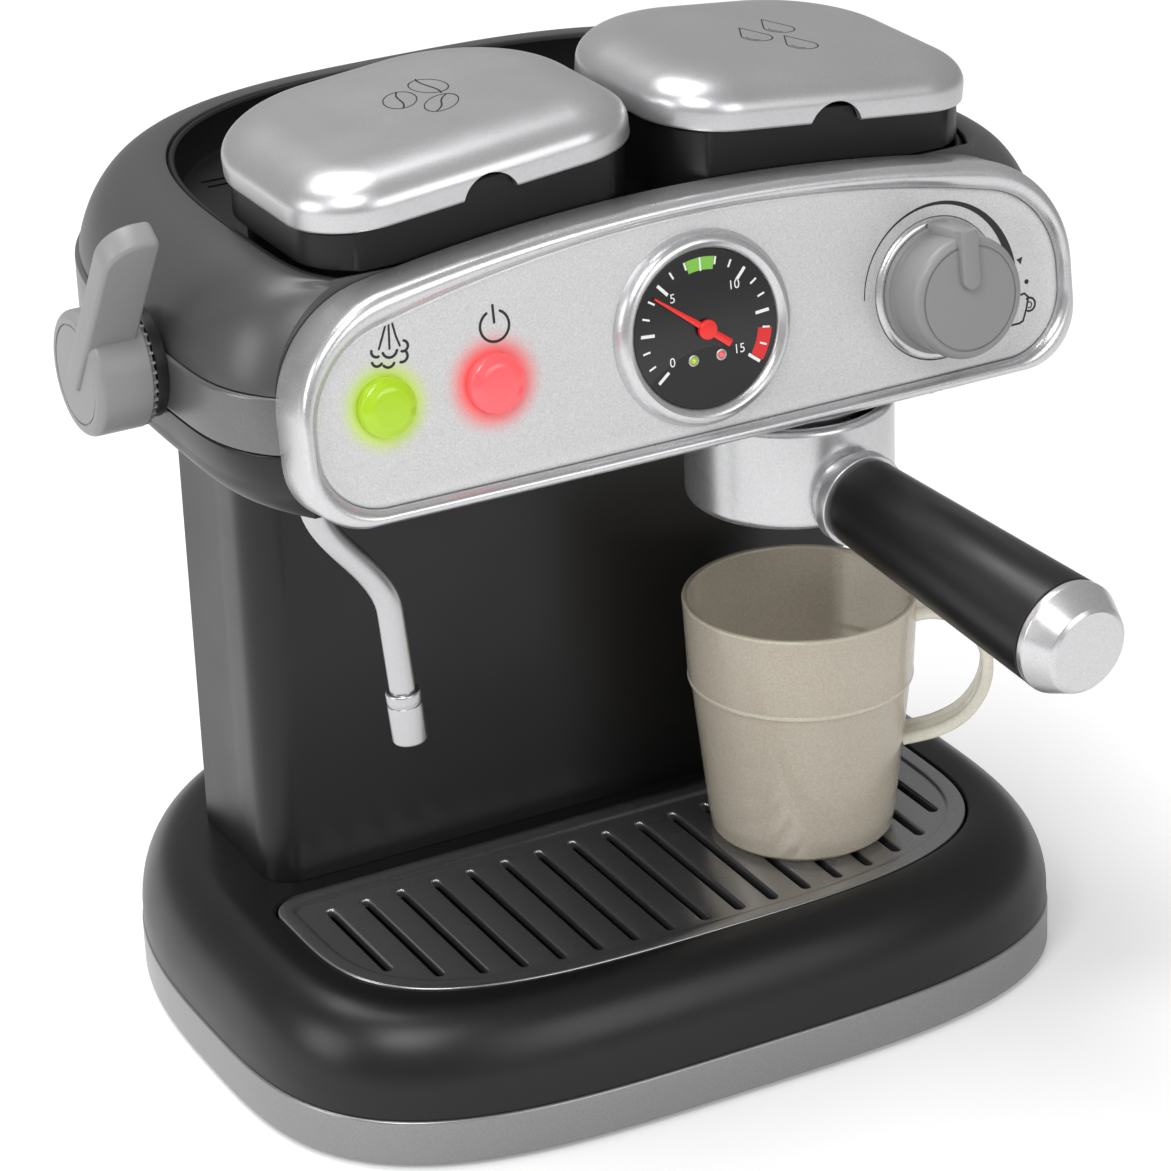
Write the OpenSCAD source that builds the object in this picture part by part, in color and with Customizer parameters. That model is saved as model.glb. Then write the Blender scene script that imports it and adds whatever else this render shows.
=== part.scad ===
// Toy coffee maker: a domed base with a drip grid, a column, and an overhanging head
// with a sloped control panel, two lidded tubs, a group with a portafilter, a steam
// wand, a steam knob and a drinking cup.
// Millimetres. +Z is up, -Y is the front, and the origin is the middle of the foot
// pad under the centre of the base.

/* [Body outline] */
// Half of the width of the base and the head
body_half_w = 110; // [100:0.5:120]
// Thickness of the moulded shells
wall = 2.5; // [1.8:0.1:3]

/* [Base] */
// Reach of the base outline to the front of its centre line
base_front = 81; // [77:0.5:90]
// Reach of the base outline to the rear of its centre line
base_back = 109; // [104:0.5:116]
// Height of the skirt's top edge above the floor
skirt_top = 13.2; // [11:0.1:15]
// Height of the deck above the floor
deck_z = 37.8; // [35:0.1:42]
// Width of the rounded shoulder between the skirt and the deck
dome_run = 14.7; // [11:0.1:16]
// Thickness of the rubber foot pads
foot_h = 1; // [0.6:0.1:1.4]

/* [Drip grid] */
// Half of the width of the drip grid
grid_half_w = 89; // [82:0.5:91]
// Depth of the drip tray's pan below the grid
tray_depth = 17.8; // [12:0.1:19]
// Spacing of the grid's slots
slot_pitch = 9.6; // [8.6:0.1:9.8]
// Width of one slot
slot_w = 2.1; // [1.6:0.1:3]
// Number of slots
slot_count = 17; // [9:2:17]
// Width of the grid's raised rim
grid_rim_w = 4.5; // [3:0.1:5.5]

/* [Column] */
// Half of the width of the column
column_half_w = 84.5; // [80:0.5:90]
// Position of the column's front face
column_front_y = 7; // [4:0.5:12]
// Height of the head's underside above the floor
head_z = 163; // [161:0.5:168]

/* [Head] */
// Height of the belt band's lower edge
belt_z0 = 178.4; // [176:0.1:181]
// Height of the belt band's upper edge
belt_z1 = 192; // [189:0.1:195]
// Height of the head's top rim
rim_z = 215; // [212:0.1:218]
// Width of the rounding from the belt up to the rim
shoulder_run = 20.5; // [18:0.1:24]

/* [Panel] */
// Slope of the control panel against the vertical
panel_tilt = 7.8; // [5:0.1:10]
// Radius of the panel's sideways bow
bow_r = 4000; // [3000:100:9000]
// Half of the panel's width
panel_half_w = 100; // [97:0.5:103]
// Radius of the panel's upper corners
end_r = 26; // [22:0.1:28]
// Radius of the panel's lower corners
corner_r = 19; // [14:0.1:22]
// Width of the bezel frame
bezel_w = 3.5; // [3:0.1:5]
// Depth of the bezel's side wall behind the panel face
bezel_depth = 14; // [12:0.1:15]
// Radius of the pressure dial
dial_r = 18.5; // [15:0.1:20]

/* [Controls] */
// Radius of the push buttons
button_r = 6.8; // [5.5:0.1:7.6]
// How far a button goes in
button_travel = 1.6; // [0.8:0.1:2]
// Radius of the main knob at its foot
knob_r = 15.2; // [12:0.1:17]
// Height of the main knob over the panel
knob_h = 14.2; // [10:0.1:17]
// Radius of the steam knob
steam_r = 14.7; // [12:0.1:16]
// Reach of the steam lever from its axis
lever_len = 49; // [44:0.5:56]

/* [Group and handle] */
// Position of the group's axis to the right of the middle
group_x = 38.8; // [36:0.1:42]
// Position of the group's axis to the front of the middle
group_y = -37; // [-40:0.1:-34]
// Radius of the portafilter
filter_r = 25.3; // [23:0.1:26.5]
// Height of the portafilter
filter_h = 25.5; // [21:0.1:27]
// Length of the handle from the group's axis to the end of its cap
handle_len = 113.5; // [97:0.5:122]
// Radius of the handle's grip at its outer end
grip_r = 13.5; // [12:0.1:14.5]

/* [Tubs and lids] */
// Width of one lid
lid_w = 85; // [78:0.5:86]
// Depth of one lid from front to back
lid_d = 75; // [68:0.5:80]
// Height of the lids' lower edge at their middle
lid_z = 228.3; // [226:0.1:230]
// Sideways slope of the lids
lid_tilt = 5.7; // [3:0.1:7]

/* [Cup] */
// Height of the cup
cup_h = 64.1; // [58:0.1:68]
// Outer radius of the cup's rim
cup_r = 29.1; // [26:0.1:29.6]
// Wall of the cup
cup_wall = 1.8; // [1.2:0.1:2.4]

/* [Hidden] */
$fn = 64;

fit = 0.1;              // gap between pieces that are fixed together
run_gap = 0.05;         // radial gap of a turning or sliding shaft
free_gap = 0.3;         // gap between pieces that pass each other

// Base levels and outline
plate_z0 = foot_h;
plate_t = 2;
plate_z1 = plate_z0 + plate_t;
skirt_z0 = plate_z0 + 0.5;
skirt_t = wall;
base_y0 = -3;
base_front_power = 3.5;
base_back_power = 2.65;
dome_z0 = skirt_top + 3.3;
lip_in = 0.3;
foot_r = 8;
foot_places = [for (x = [-1, 1], p = [[35, -48], [40, 72]]) [x * (body_half_w - p[0]), p[1]],
    [0, 0]];
boss_r = 4;
base_boss_places = [for (x = [-1, 1], p = [[13, -20], [30, 62]]) [x * (body_half_w - p[0]), p[1]]];
screw_r = 1.3;
screw_head_r = 3.2;

// Drip tray and grid
grid_z = deck_z - 0.8;
grid_t = 2.2;
grid_back_y = 1;
grid_y0 = -16;
grid_front = 51.5;
grid_power = 3.2;
grid_corner = 8;
tray_wall = 1.6;
well_gap = 0.5;
tray_top = grid_z - grid_t - 0.2;
tray_z0 = tray_top - tray_depth;
slot_back_y = -8;
slot_inset = 7;

// Battery compartment
cell_r = 7.25;
cell_len = 50.5;
cell_count = 3;
cell_pitch = 15.4;
bay_y = 43;
bay_wall = 1.5;
contact_gap = 2.5;
bay_half_x = cell_len / 2 + contact_gap;
bay_half_y = (cell_count * cell_pitch + 1) / 2;
cell_z = plate_z1 + 0.5 + cell_r;
bay_z1 = cell_z + cell_r + 0.5;
door_gap = 0.3;
door_tab = 9;
door_screw_y = bay_y + bay_half_y + bay_wall + 3.5;
speaker_r = 19;
speaker_place = [50 - body_half_w, bay_y - 2];

// Column
column_back = 94;
column_power = 3.2;
column_corner = 9;
column_seam_y = 50;
column_post_places = [for (x = [-45, 45], z = [60, head_z - 18]) [x, z]];
column_post_end = 86;
beyond = 300;           // longer than the whole object, for cuts
cable_half_w = 20;
cable_half_d = 10;

// Head
head_y0 = -10;
head_back = 120;
head_power = 3;
head_front_power = 4;
shoulder_z0 = belt_z0 + 4.5;
bowl_round = 7.5;
bowl_round_h = 6.5;
front_points = 12;
side_points = 60;
head_boss_places = [for (x = [-1, 1], p = [[15, 0], [20, 50]]) [x * (body_half_w - p[0]), p[1]]];
head_boss_z = 209.2;
tray_floor_z = 204;
tray_floor_t = 2;
front_skin = 0.85;
sump_gap = 0.3;
vent_x = 65;
vent_y = [54, 58];

// Panel frame
panel_y = -72.2;
panel_z = 147;
panel_low_w = 17.5;
// Panel's outline at the bezel's outer edge and at its inner one: radius of the low corners,
// radius of the ends, height of the ends' centres, radius of the crown
outer_shape = [corner_r - 5, end_r + 2, 42, 450];
inner_shape = [corner_r, end_r, 40.5, 325];
// Least reach of the head's front corners beyond the centres of the panel's low corners and ends
low_reach = 8;
end_reach = 12;
bezel_front = 1.5;
clip_places = [-58, 2, 60.5];
clip_r = 1.6;
clip_w = panel_low_w + 0.7;
fascia_d0 = 1;
fascia_t = 2;
carrier_d0 = fascia_d0 + fascia_t + 5;
carrier_t = 1.8;
window_w0 = 24;
window_w1 = 54;
dial_w = 45.5;
dial_ring_r = dial_r + 4.3;
dial_ring_proud = 2.2;
dial_d0 = -0.7;
button_w = 43.8;
button_places = [-79.3, -52.8];
button_proud = 3.5;
stem_r = 3;
flange_t = 1;
spring_r = 4.9;
button_flange_out = 1.2;
flange_out = 1.8;
knob_u = 62.9;
knob_w = 42;
knob_front_r = 14.5;
ridge_w = 4.6;
ridge_h = 1.8;
shaft_r = 3;
board_d = 18;
board_t = 1.6;
board_u0 = -89;
board_u1 = 27;
board_w0 = 25;
board_w1 = 52;
post_r = 2.5;
post_places = [[-86, 30], [-86, 49], [23, 28], [23, 49]];
needle_rest = 52.9;
pin_r = 0.7;

// Steam knob and wand
steam_y = -2.5;
steam_z = belt_z1 - 4.75;
steam_face_x = -(body_half_w + 17.5);
steam_foot_x = -(body_half_w + 3.3);
lever_lean = 34;
lever_t = 6.8;
steam_shaft_r = 3;
steam_boss_r = 4.2;
wand_x = -88;
wand_y = -40;
wand_r = 3.15;
wand_bend = [16.2, -3, -26];
wand_lean = 5.4;
wand_drop = 39.3;
nozzle_r = 4.15;
nozzle_len = 13.5;

// Group and portafilter
ring_r = filter_r - 3.8;
filter_z1 = head_z - 5;
filter_z0 = filter_z1 - filter_h;
filter_wall = 2.2;
filter_floor = 2.5;
outlet_r = 4;
shower_r = 16;
lug_r = 20;
lug_t = 2;
lug_angle = 22;
lug_z = filter_z1 - 5;
neck_r = 10;
group_neck_r = 12;
handle_turn = 5;
handle_tilt = 5;
handle_z = filter_z0 + 10;
collar_r = 11.6;
grip_r0 = 10.7;
grip_start = 30;
cap_len = 9.3;

// Tubs and lids
lid_gap = 4;
lid_y0 = -51;
lid_front_r = 18;
lid_outer_r = 30;
lid_inner_r = 35;
lid_wall_h = 4;
lid_round = 14;
lid_round_h = 8;
lid_wall = 2;
tub_in = 1.5;
tub_low_in = 4.6;
tub_front_in = 2.6;
tub_wall = 1.8;
collar_in = lid_wall + 0.5;
collar_t = 1.6;
collar_h = 3.6;
notch_r = 7.1;
notch_z = -2;
sump_x = [22, 66];
sump_y = [-22, 8];
sump_z = 182;

// Cup
cup_x = 45.2;
cup_y = -30;
cup_foot_h = 5.8;
cup_foot_r = cup_r - 5.6;
cup_step_h = cup_h - 22;
cup_step_r = cup_r - 1.7;
cup_handle_turn = -30;
cup_handle_w = 9;

// ---------------------------------------------------------------- helpers

// Point of a rounded outline at angle t, with its own power
function power_point(t, a, b, n) =
    [a * sign(cos(t)) * pow(abs(cos(t)), 2 / n), b * sign(sin(t)) * pow(abs(sin(t)), 2 / n)];

function at_height(points, z) = [for (p = points) [p[0], p[1], z]];
function unit(v) = v / norm(v);

// Solid skinned over rings of equal point counts, capped at the first and last ring.
// The rings run counter-clockwise seen from above, from an outer foot to an outer top.
module loft(rings) {
    n = len(rings[0]);
    last = len(rings) - 1;
    sides = [for (i = [0:last - 1], j = [0:n - 1]) let (k = (j + 1) % n)
        each [[i * n + j, (i + 1) * n + j, (i + 1) * n + k],
              [i * n + j, (i + 1) * n + k, i * n + k]]];
    caps = [[for (j = [0:n - 1]) j], [for (j = [n - 1:-1:0]) last * n + j]];
    polyhedron([for (r = rings) each r], concat(sides, caps));
}

// The same skin closed from the last ring back to the first, as a frame
module loop_loft(rings) {
    n = len(rings[0]);
    m = len(rings);
    sides = [for (i = [0:m - 1], j = [0:n - 1]) let (k = (j + 1) % n, u = (i + 1) % m)
        each [[i * n + j, u * n + j, u * n + k], [i * n + j, u * n + k, i * n + k]]];
    polyhedron([for (r = rings) each r], sides);
}

// Tube of radius r along points, its rings square to the route
module sweep(route, r, sides, side_ref) {
    m = len(route);
    rings = [for (i = [0:m - 1])
        let (a = route[max(i - 1, 0)], b = route[min(i + 1, m - 1)], t = unit(b - a),
             e1 = unit(cross(t, side_ref)), e2 = cross(t, e1))
        [for (j = [0:sides - 1]) let (g = 360 * j / sides)
            route[i] + r * (cos(g) * e1 + sin(g) * e2)]];
    loft(rings);
}

// Smooth route through four or more chosen points
function spline_point(p0, p1, p2, p3, t) = 0.5 * ((2 * p1) + (p2 - p0) * t
    + (2 * p0 - 5 * p1 + 4 * p2 - p3) * t * t + (3 * p1 - p0 - 3 * p2 + p3) * t * t * t);
function smooth(p, steps) = concat([for (i = [0:len(p) - 2], s = [0:steps - 1])
    spline_point(p[max(i - 1, 0)], p[i], p[i + 1], p[min(i + 2, len(p) - 1)], s / steps)],
    [p[len(p) - 1]]);

// Washer, disc or tube along Z from z0 to z1
module tube(r_out, r_in, z0, z1) {
    translate([0, 0, z0]) difference() {
        cylinder(r = r_out, h = z1 - z0);
        if (r_in > 0) translate([0, 0, -1]) cylinder(r = r_in, h = z1 - z0 + 2);
    }
}

// Flat plate between two heights, from a point list
module plate(points, z0, z1) {
    translate([0, 0, z0]) linear_extrude(z1 - z0) polygon(points);
}

// Box between two corners
module block(a, b) {
    translate(a) cube(b - a);
}

// ---------------------------------------------------------------- base

function base_outline(k) = [for (i = [0:71]) let (t = 5 * i, f = sin(t) < 0,
    p = power_point(t, body_half_w - k, (f ? base_front : base_back) - k,
        f ? base_front_power : base_back_power)) [p[0], base_y0 + p[1]]];
function base_ring(k, z) = at_height(base_outline(k), z);

function grid_outline(k) = let (a = grid_half_w - k, r = grid_corner - k,
    y1 = grid_back_y - k)
    concat([for (i = [0:8]) let (t = 90 * i / 8) [a - r + r * cos(t), y1 - r + r * sin(t)]],
        [for (i = [0:8]) let (t = 90 + 90 * i / 8) [-a + r + r * cos(t), y1 - r + r * sin(t)]],
        [for (i = [0:40]) let (t = 180 + 4.5 * i, p = power_point(t, a, grid_front - k,
            grid_power)) [p[0], grid_y0 + p[1]]]);

// Front end of the slot that stands at x
function slot_front(x) = grid_y0 - (grid_front - slot_inset)
    * pow(1 - pow(abs(x) / (grid_half_w - slot_inset), grid_power), 1 / grid_power);

module base_plate() {
    color("#1a1a1c") difference() {
        plate(base_outline(skirt_t + 0.7), plate_z0, plate_z1);
        block([-bay_half_x - bay_wall - door_gap, bay_y - bay_half_y - bay_wall - door_gap, 0],
            [bay_half_x + bay_wall + door_gap, bay_y + bay_half_y + door_tab, plate_z1 + 1]);
        for (p = base_boss_places) translate([p[0], p[1], 0]) {
            cylinder(r = screw_r + 0.3, h = plate_z1 + 1);
            cylinder(r = screw_head_r + 0.3, h = plate_z0 + 1.1);
        }
        for (i = [0:6]) rotate_about(speaker_place, 60 * i)
            translate([i == 0 ? 0 : 9, 0, 0]) cylinder(r = 1.6, h = plate_z1 + 1);
    }
}

module rotate_about(p, angle) {
    translate([p[0], p[1], 0]) rotate([0, 0, angle]) children();
}

module rubber_feet() {
    color("#2a2a2a") for (p = foot_places) translate([p[0], p[1], 0])
        tube(foot_r, 0, 0, foot_h);
}

module base_skirt() {
    color("#c9c9cc") difference() {
        plate(base_outline(0), skirt_z0, skirt_top);
        plate(base_outline(skirt_t), skirt_z0 - 1, skirt_top + 1);
    }
}

module base_shell() {
    inner_k = skirt_t + fit + wall;
    inner_run = dome_run + wall - inner_k + lip_in;
    color("#232325") difference() {
        union() {
            loft(concat(
                [for (t = [90, 62, 36, 12]) base_ring(inner_k + inner_run * (1 - cos(t)),
                    dome_z0 + (deck_z - wall - dome_z0) * sin(t))],
                [base_ring(inner_k, plate_z1), base_ring(skirt_t + fit, plate_z1),
                 base_ring(skirt_t + fit, skirt_top), base_ring(lip_in, skirt_top)],
                [for (t = [0:10:90]) base_ring(lip_in + dome_run * (1 - cos(t)),
                    dome_z0 + (deck_z - dome_z0) * sin(t))]));
            plate(grid_outline(-well_gap - 2), tray_z0 - 2, deck_z - wall + 1.2);
            for (p = base_boss_places) translate([p[0], p[1], 0])
                tube(boss_r, 0, plate_z1, deck_z - 3);
        }
        plate(grid_outline(-well_gap), tray_z0, deck_z + 1);
        for (p = base_boss_places) translate([p[0], p[1], 0])
            tube(screw_r + run_gap, 0, plate_z1 - 1, plate_z1 + 12);
        translate([0, bay_y, deck_z]) cube([2 * cable_half_w, 2 * cable_half_d, 20], center = true);
    }
}

module base_screws() {
    color("#9a9a9a") for (p = base_boss_places) translate([p[0], p[1], 0]) {
        tube(screw_head_r, 0, plate_z0 + 0.2, plate_z0 + 1.1);
        tube(screw_r, 0, plate_z0 + 1.1, plate_z1 + 10);
    }
}

// ---------------------------------------------------------------- batteries

module battery_box() {
    x = bay_half_x;
    y = bay_half_y;
    color("#2b2b2d") difference() {
        union() {
            block([-x - bay_wall, bay_y - y - bay_wall, plate_z1],
                [x + bay_wall, bay_y + y + bay_wall, bay_z1 + bay_wall]);
            translate([0, door_screw_y, 0]) tube(boss_r, 0, plate_z1, bay_z1);
        }
        block([-x, bay_y - y, plate_z1 - 1], [x, bay_y + y, bay_z1]);
        translate([0, door_screw_y, 0]) tube(screw_r + run_gap, 0, plate_z1 - 1, bay_z1 - 2);
    }
}

module cells() {
    for (i = [0:cell_count - 1]) translate([0, bay_y + (i - (cell_count - 1) / 2) * cell_pitch,
        cell_z]) rotate([0, i % 2 == 0 ? 90 : -90, 0]) children();
}

module batteries() {
    color("#3c6a48") cells() {
        translate([0, 0, -cell_len / 2]) cylinder(r = cell_r, h = cell_len - 1.2);
        translate([0, 0, cell_len / 2 - 1.2]) cylinder(r = 2.7, h = 1.2);
    }
}

module battery_contacts() {
    color("#d0d0d0") cells() for (side = [-1, 1]) {
        translate([0, 0, side * (cell_len / 2 + contact_gap - 0.25)])
            cube([9, 10, 0.5], center = true);
        translate([0, 0, side > 0 ? cell_len / 2 : -cell_len / 2 - contact_gap + 0.5])
            cylinder(r1 = 2.4, r2 = side > 0 ? 3.4 : 2.4, h = contact_gap - 0.5);
    }
}

module battery_door() {
    x = bay_half_x + bay_wall;
    color("#1e1e20") difference() {
        block([-x, bay_y - bay_half_y - bay_wall, plate_z0],
            [x, bay_y + bay_half_y + door_tab - door_gap, plate_z1]);
        translate([0, door_screw_y, 0]) {
            cylinder(r = screw_r + 0.3, h = plate_z1 + 1);
            cylinder(r = screw_head_r + 0.3, h = plate_z0 + 1.1);
        }
    }
}

module battery_door_screw() {
    color("#b0b0b0") translate([0, door_screw_y, 0]) {
        tube(screw_head_r, 0, plate_z0 + 0.2, plate_z0 + 1.1);
        tube(screw_r, 0, plate_z0 + 1.1, plate_z1 + 9);
    }
}

module speaker() {
    color("#303034") translate([speaker_place[0], speaker_place[1], plate_z1]) rotate_extrude()
        polygon([[0, 1.4], [speaker_r - 3, 1.4], [speaker_r - 3, 0], [speaker_r, 0],
            [speaker_r, 3], [speaker_r - 2, 3], [9, 7], [9, 12], [0, 12]]);
}

// ---------------------------------------------------------------- drip tray

module drip_tray() {
    color("#202022") difference() {
        plate(grid_outline(0), tray_z0, tray_top);
        plate(grid_outline(tray_wall), tray_z0 + tray_wall, tray_top + 1);
    }
}

module slot(x) {
    y0 = slot_front(x) + slot_w / 2;
    y1 = slot_back_y - slot_w / 2;
    translate([x - slot_w / 2, y0]) square([slot_w, y1 - y0]);
    for (y = [y0, y1]) translate([x, y]) circle(d = slot_w, $fn = 24);
}

module drip_grid() {
    color("#a7a7a9") difference() {
        union() {
            plate(grid_outline(0), grid_z - grid_t, deck_z - 0.4);
            plate(grid_outline(0.7), deck_z - 1, deck_z);
        }
        plate(grid_outline(grid_rim_w), grid_z, deck_z + 1);
        translate([0, 0, grid_z - grid_t - 1]) linear_extrude(grid_t + 2)
            for (i = [0:slot_count - 1]) slot((i - (slot_count - 1) / 2) * slot_pitch);
    }
}

// ---------------------------------------------------------------- column

function column_outline(k) = let (a = column_half_w - k, b = column_back - k, r = column_corner - k,
    yc = column_front_y + column_corner,
    t0 = asin(pow((yc - base_y0) / b, column_power / 2)),
    x0 = a * pow(cos(t0), 2 / column_power))
    concat([for (i = [0:6]) let (t = -90 + 15 * i) [x0 - r + r * cos(t), yc + r * sin(t)]],
        [for (i = [0:44]) let (t = t0 + (180 - 2 * t0) * i / 44,
            p = power_point(t, a, b, column_power)) [p[0], base_y0 + p[1]]],
        [for (i = [0:6]) let (t = 180 + 15 * i) [-x0 + r + r * cos(t), yc + r * sin(t)]]);

module column_wall() {
    difference() {
        polygon(column_outline(0));
        polygon(column_outline(wall));
    }
}

module column_half(front) {
    translate([0, 0, deck_z]) linear_extrude(head_z - deck_z) intersection() {
        column_wall();
        translate([-beyond / 2, column_seam_y - (front ? beyond : 0)]) square(beyond);
    }
}

module along_y(x, z, y0, y1, r) {
    translate([x, y1, z]) rotate([90, 0, 0]) cylinder(r = r, h = y1 - y0);
}

module column_front() {
    color("#222224") difference() {
        union() {
            column_half(true);
            for (p = column_post_places)
                along_y(p[0], p[1], column_front_y + 1, column_seam_y, boss_r);
        }
        for (p = column_post_places) along_y(p[0], p[1], column_seam_y - 18,
            column_seam_y + 1, screw_r + run_gap);
    }
}

module column_back() {
    color("#222224") difference() {
        union() {
            column_half(false);
            for (p = column_post_places)
                along_y(p[0], p[1], column_seam_y, column_post_end, boss_r);
        }
        for (p = column_post_places) {
            along_y(p[0], p[1], column_seam_y - 1, column_post_end, screw_r + 0.3);
            along_y(p[0], p[1], column_seam_y + 4, column_post_end + 10, screw_head_r + 0.3);
        }
    }
}

module column_screws() {
    color("#9a9a9a") for (p = column_post_places) {
        along_y(p[0], p[1], column_seam_y + 4, column_seam_y + 6, screw_head_r);
        along_y(p[0], p[1], column_seam_y - 14, column_seam_y + 4, screw_r);
    }
}

// ---------------------------------------------------------------- head

// Y of the panel surface at side x and height z, d behind the panel's face
function panel_surface(x, z, d) = panel_y + (z - panel_z) * tan(panel_tilt)
    + (d + x * x / (2 * bow_r)) / cos(panel_tilt);

// Half of the bezel's width at height z
function bezel_half(z) = let (w = (z - panel_z) / cos(panel_tilt), low = panel_low_w + outer_shape[0],
    q = outer_shape[0], r = outer_shape[1])
    w < low
        ? panel_half_w - q + sqrt(max(pow(q, 2) - pow(w - low, 2), pow(low_reach, 2)))
        : panel_half_w - r
            + sqrt(max(pow(r, 2) - pow(max(w - outer_shape[2], 0), 2), pow(end_reach, 2)));

// Ring of the head at inset k and height z, cut to the panel at depth d in front,
// where its corners stay m inside the bezel's outline
function head_ring(k, z, d, m) = let (a = body_half_w - k, hw = min(bezel_half(z) - m, 0.985 * a),
    yc = panel_surface(hw, z, d), q = head_front_power, s = pow(1 - pow(hw / a, q), 1 / q),
    bf = (head_y0 - yc) / s, tc = asin(pow(s, q / 2)), n = side_points)
    at_height(concat(
        [for (i = [0:n - 1]) let (t = -tc + (180 + 2 * tc) * i / (n - 1), f = sin(t) < 0,
            p = power_point(t, a, f ? bf : head_back - k, f ? q : head_power))
            [p[0], head_y0 + p[1]]],
        [for (i = [1:front_points - 1]) let (x = -hw + 2 * hw * i / front_points)
            [x, panel_surface(x, z, d)]]), z);

skin_d = bezel_depth + 0.15;

module panel_window() {
    in_panel() along_d(5, 24) translate([-90, window_w0])
        square([180, window_w1 - window_w0]);
}

module head_lower_shell() {
    color("#2a2a2c") difference() {
        loft(concat(
            [for (t = [90:-18:0]) head_ring(wall + bowl_round * (1 - cos(t)),
                head_z + bowl_round_h * (1 - sin(t)), skin_d, 0.5)],
            [head_ring(1, head_z + 12, skin_d, 0.5), head_ring(0.4, belt_z0, skin_d, 0.5),
             head_ring(wall + 0.4, belt_z0, skin_d + wall, wall),
             head_ring(wall * 2, head_z + bowl_round_h, skin_d + wall, wall + 0.5),
             head_ring(wall + bowl_round, head_z + wall, skin_d + wall, wall + 1)]));
        panel_window();
        translate([0, bay_y, head_z]) cube([2 * cable_half_w, 2 * cable_half_d, 20], center = true);
        translate([group_x, group_y, head_z - 1]) cylinder(r = group_neck_r + fit, h = 10);
        translate([wand_x, wand_y, head_z - 1]) cylinder(r = wand_r + 2.5 + fit, h = 10);
        for (p = head_boss_places) translate([p[0], p[1], head_z - 1]) {
            cylinder(r = screw_r + 0.3, h = 12);
            cylinder(r = screw_head_r + 0.3, h = 3.2);
        }
    }
}

module belt_band() {
    color("#77777a") difference() {
        loop_loft([head_ring(0.4, belt_z0, skin_d, 0.5), head_ring(0, belt_z0 + 0.6, skin_d, 0.5),
            head_ring(0, belt_z1 - 0.6, skin_d, 0.5), head_ring(0.5, belt_z1, skin_d, 0.5),
            head_ring(wall, belt_z1, skin_d + wall, wall),
            head_ring(wall, belt_z0, skin_d + wall, wall)]);
        panel_window();
        translate([-body_half_w, steam_y, steam_z]) rotate([0, 90, 0])
            cylinder(r = steam_boss_r + fit, h = 16, center = true);
    }
}

module head_upper_shell() {
    t_foot = asin((belt_z1 - shoulder_z0) / (rim_z - shoulder_z0));
    rise = rim_z - shoulder_z0;
    rim_in = shoulder_run + 1.5;
    color("#4a4a4c") difference() {
        union() {
            loop_loft(concat(
                [for (i = [0:6]) let (t = t_foot + (90 - t_foot) * i / 6)
                    head_ring(shoulder_run * (1 - cos(t)), shoulder_z0 + rise * sin(t),
                        skin_d, 0.5)],
                [head_ring(rim_in, rim_z, skin_d + front_skin, 1.5)],
                [for (t = [90, 66, 42, 20]) head_ring(wall + (rim_in - wall) * (1 - cos(t)),
                    shoulder_z0 + (rise - wall) * sin(t), skin_d + front_skin, wall)]));
            for (p = head_boss_places) translate([p[0], p[1], 0])
                tube(boss_r, 0, head_z + wall + fit, head_boss_z);
        }
        panel_window();
        for (p = head_boss_places) translate([p[0], p[1], 0])
            tube(screw_r + run_gap, 0, head_z, head_z + 22);
    }
}

module head_screws() {
    color("#9a9a9a") for (p = head_boss_places) translate([p[0], p[1], head_z]) {
        tube(screw_head_r, 0, 0.3, 2.2);
        tube(screw_r, 0, 2.2, 18);
    }
}

module top_tray() {
    k = shoulder_run + 1.7;
    d = skin_d + front_skin + 0.2;
    z0 = tray_floor_z - tray_floor_t;
    flange_z = rim_z - wall - 0.6;
    color("#161618") difference() {
        loft([head_ring(k, z0, d, 3), head_ring(k, flange_z - 2, d, 3),
            head_ring(k - 1.4, flange_z - 2, d, 3.4), head_ring(k - 1.4, flange_z, d, 3.4),
            head_ring(k, flange_z, d, 3), head_ring(k, rim_z - 0.4, d, 3),
            head_ring(k + 1.5, rim_z - 0.4, d + 1.2, 4),
            head_ring(k + 1.5, tray_floor_z, d + 1.2, 4)]);
        block([sump_x[0] - sump_gap, sump_y[0] - sump_gap, z0 - 1],
            [sump_x[1] + sump_gap, sump_y[1] + sump_gap, tray_floor_z + 1]);
        for (side = [-1, 1], y = vent_y) block([side * vent_x - 4, y - 0.6, z0 - 1],
            [side * vent_x + 4, y + 0.6, tray_floor_z + 1]);
    }
}

// ---------------------------------------------------------------- panel

// Children drawn in the panel's frame: X across, Y into the head, Z up the slope
module in_panel() {
    translate([0, panel_y, panel_z]) rotate([-panel_tilt, 0, 0]) children();
}

// Flat shape extruded from depth d0 to depth d1, in the panel's frame
module along_d(d0, d1) {
    translate([0, d1, 0]) rotate([90, 0, 0]) linear_extrude(d1 - d0) children();
}

// Cylinder along the depth, in the panel's frame
module d_rod(u, w, d0, d1, r) {
    translate([u, d1, w]) rotate([90, 0, 0]) cylinder(r = r, h = d1 - d0);
}

function bow(u) = u * u / (2 * bow_r);

// Half of the crown's angle, and the height of its centre, in an outline's shape
function crown_angle(s) = asin((panel_half_w - s[1]) / (s[3] - s[1]));
function crown_w(s) = s[2] - (s[3] - s[1]) * cos(crown_angle(s));

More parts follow.
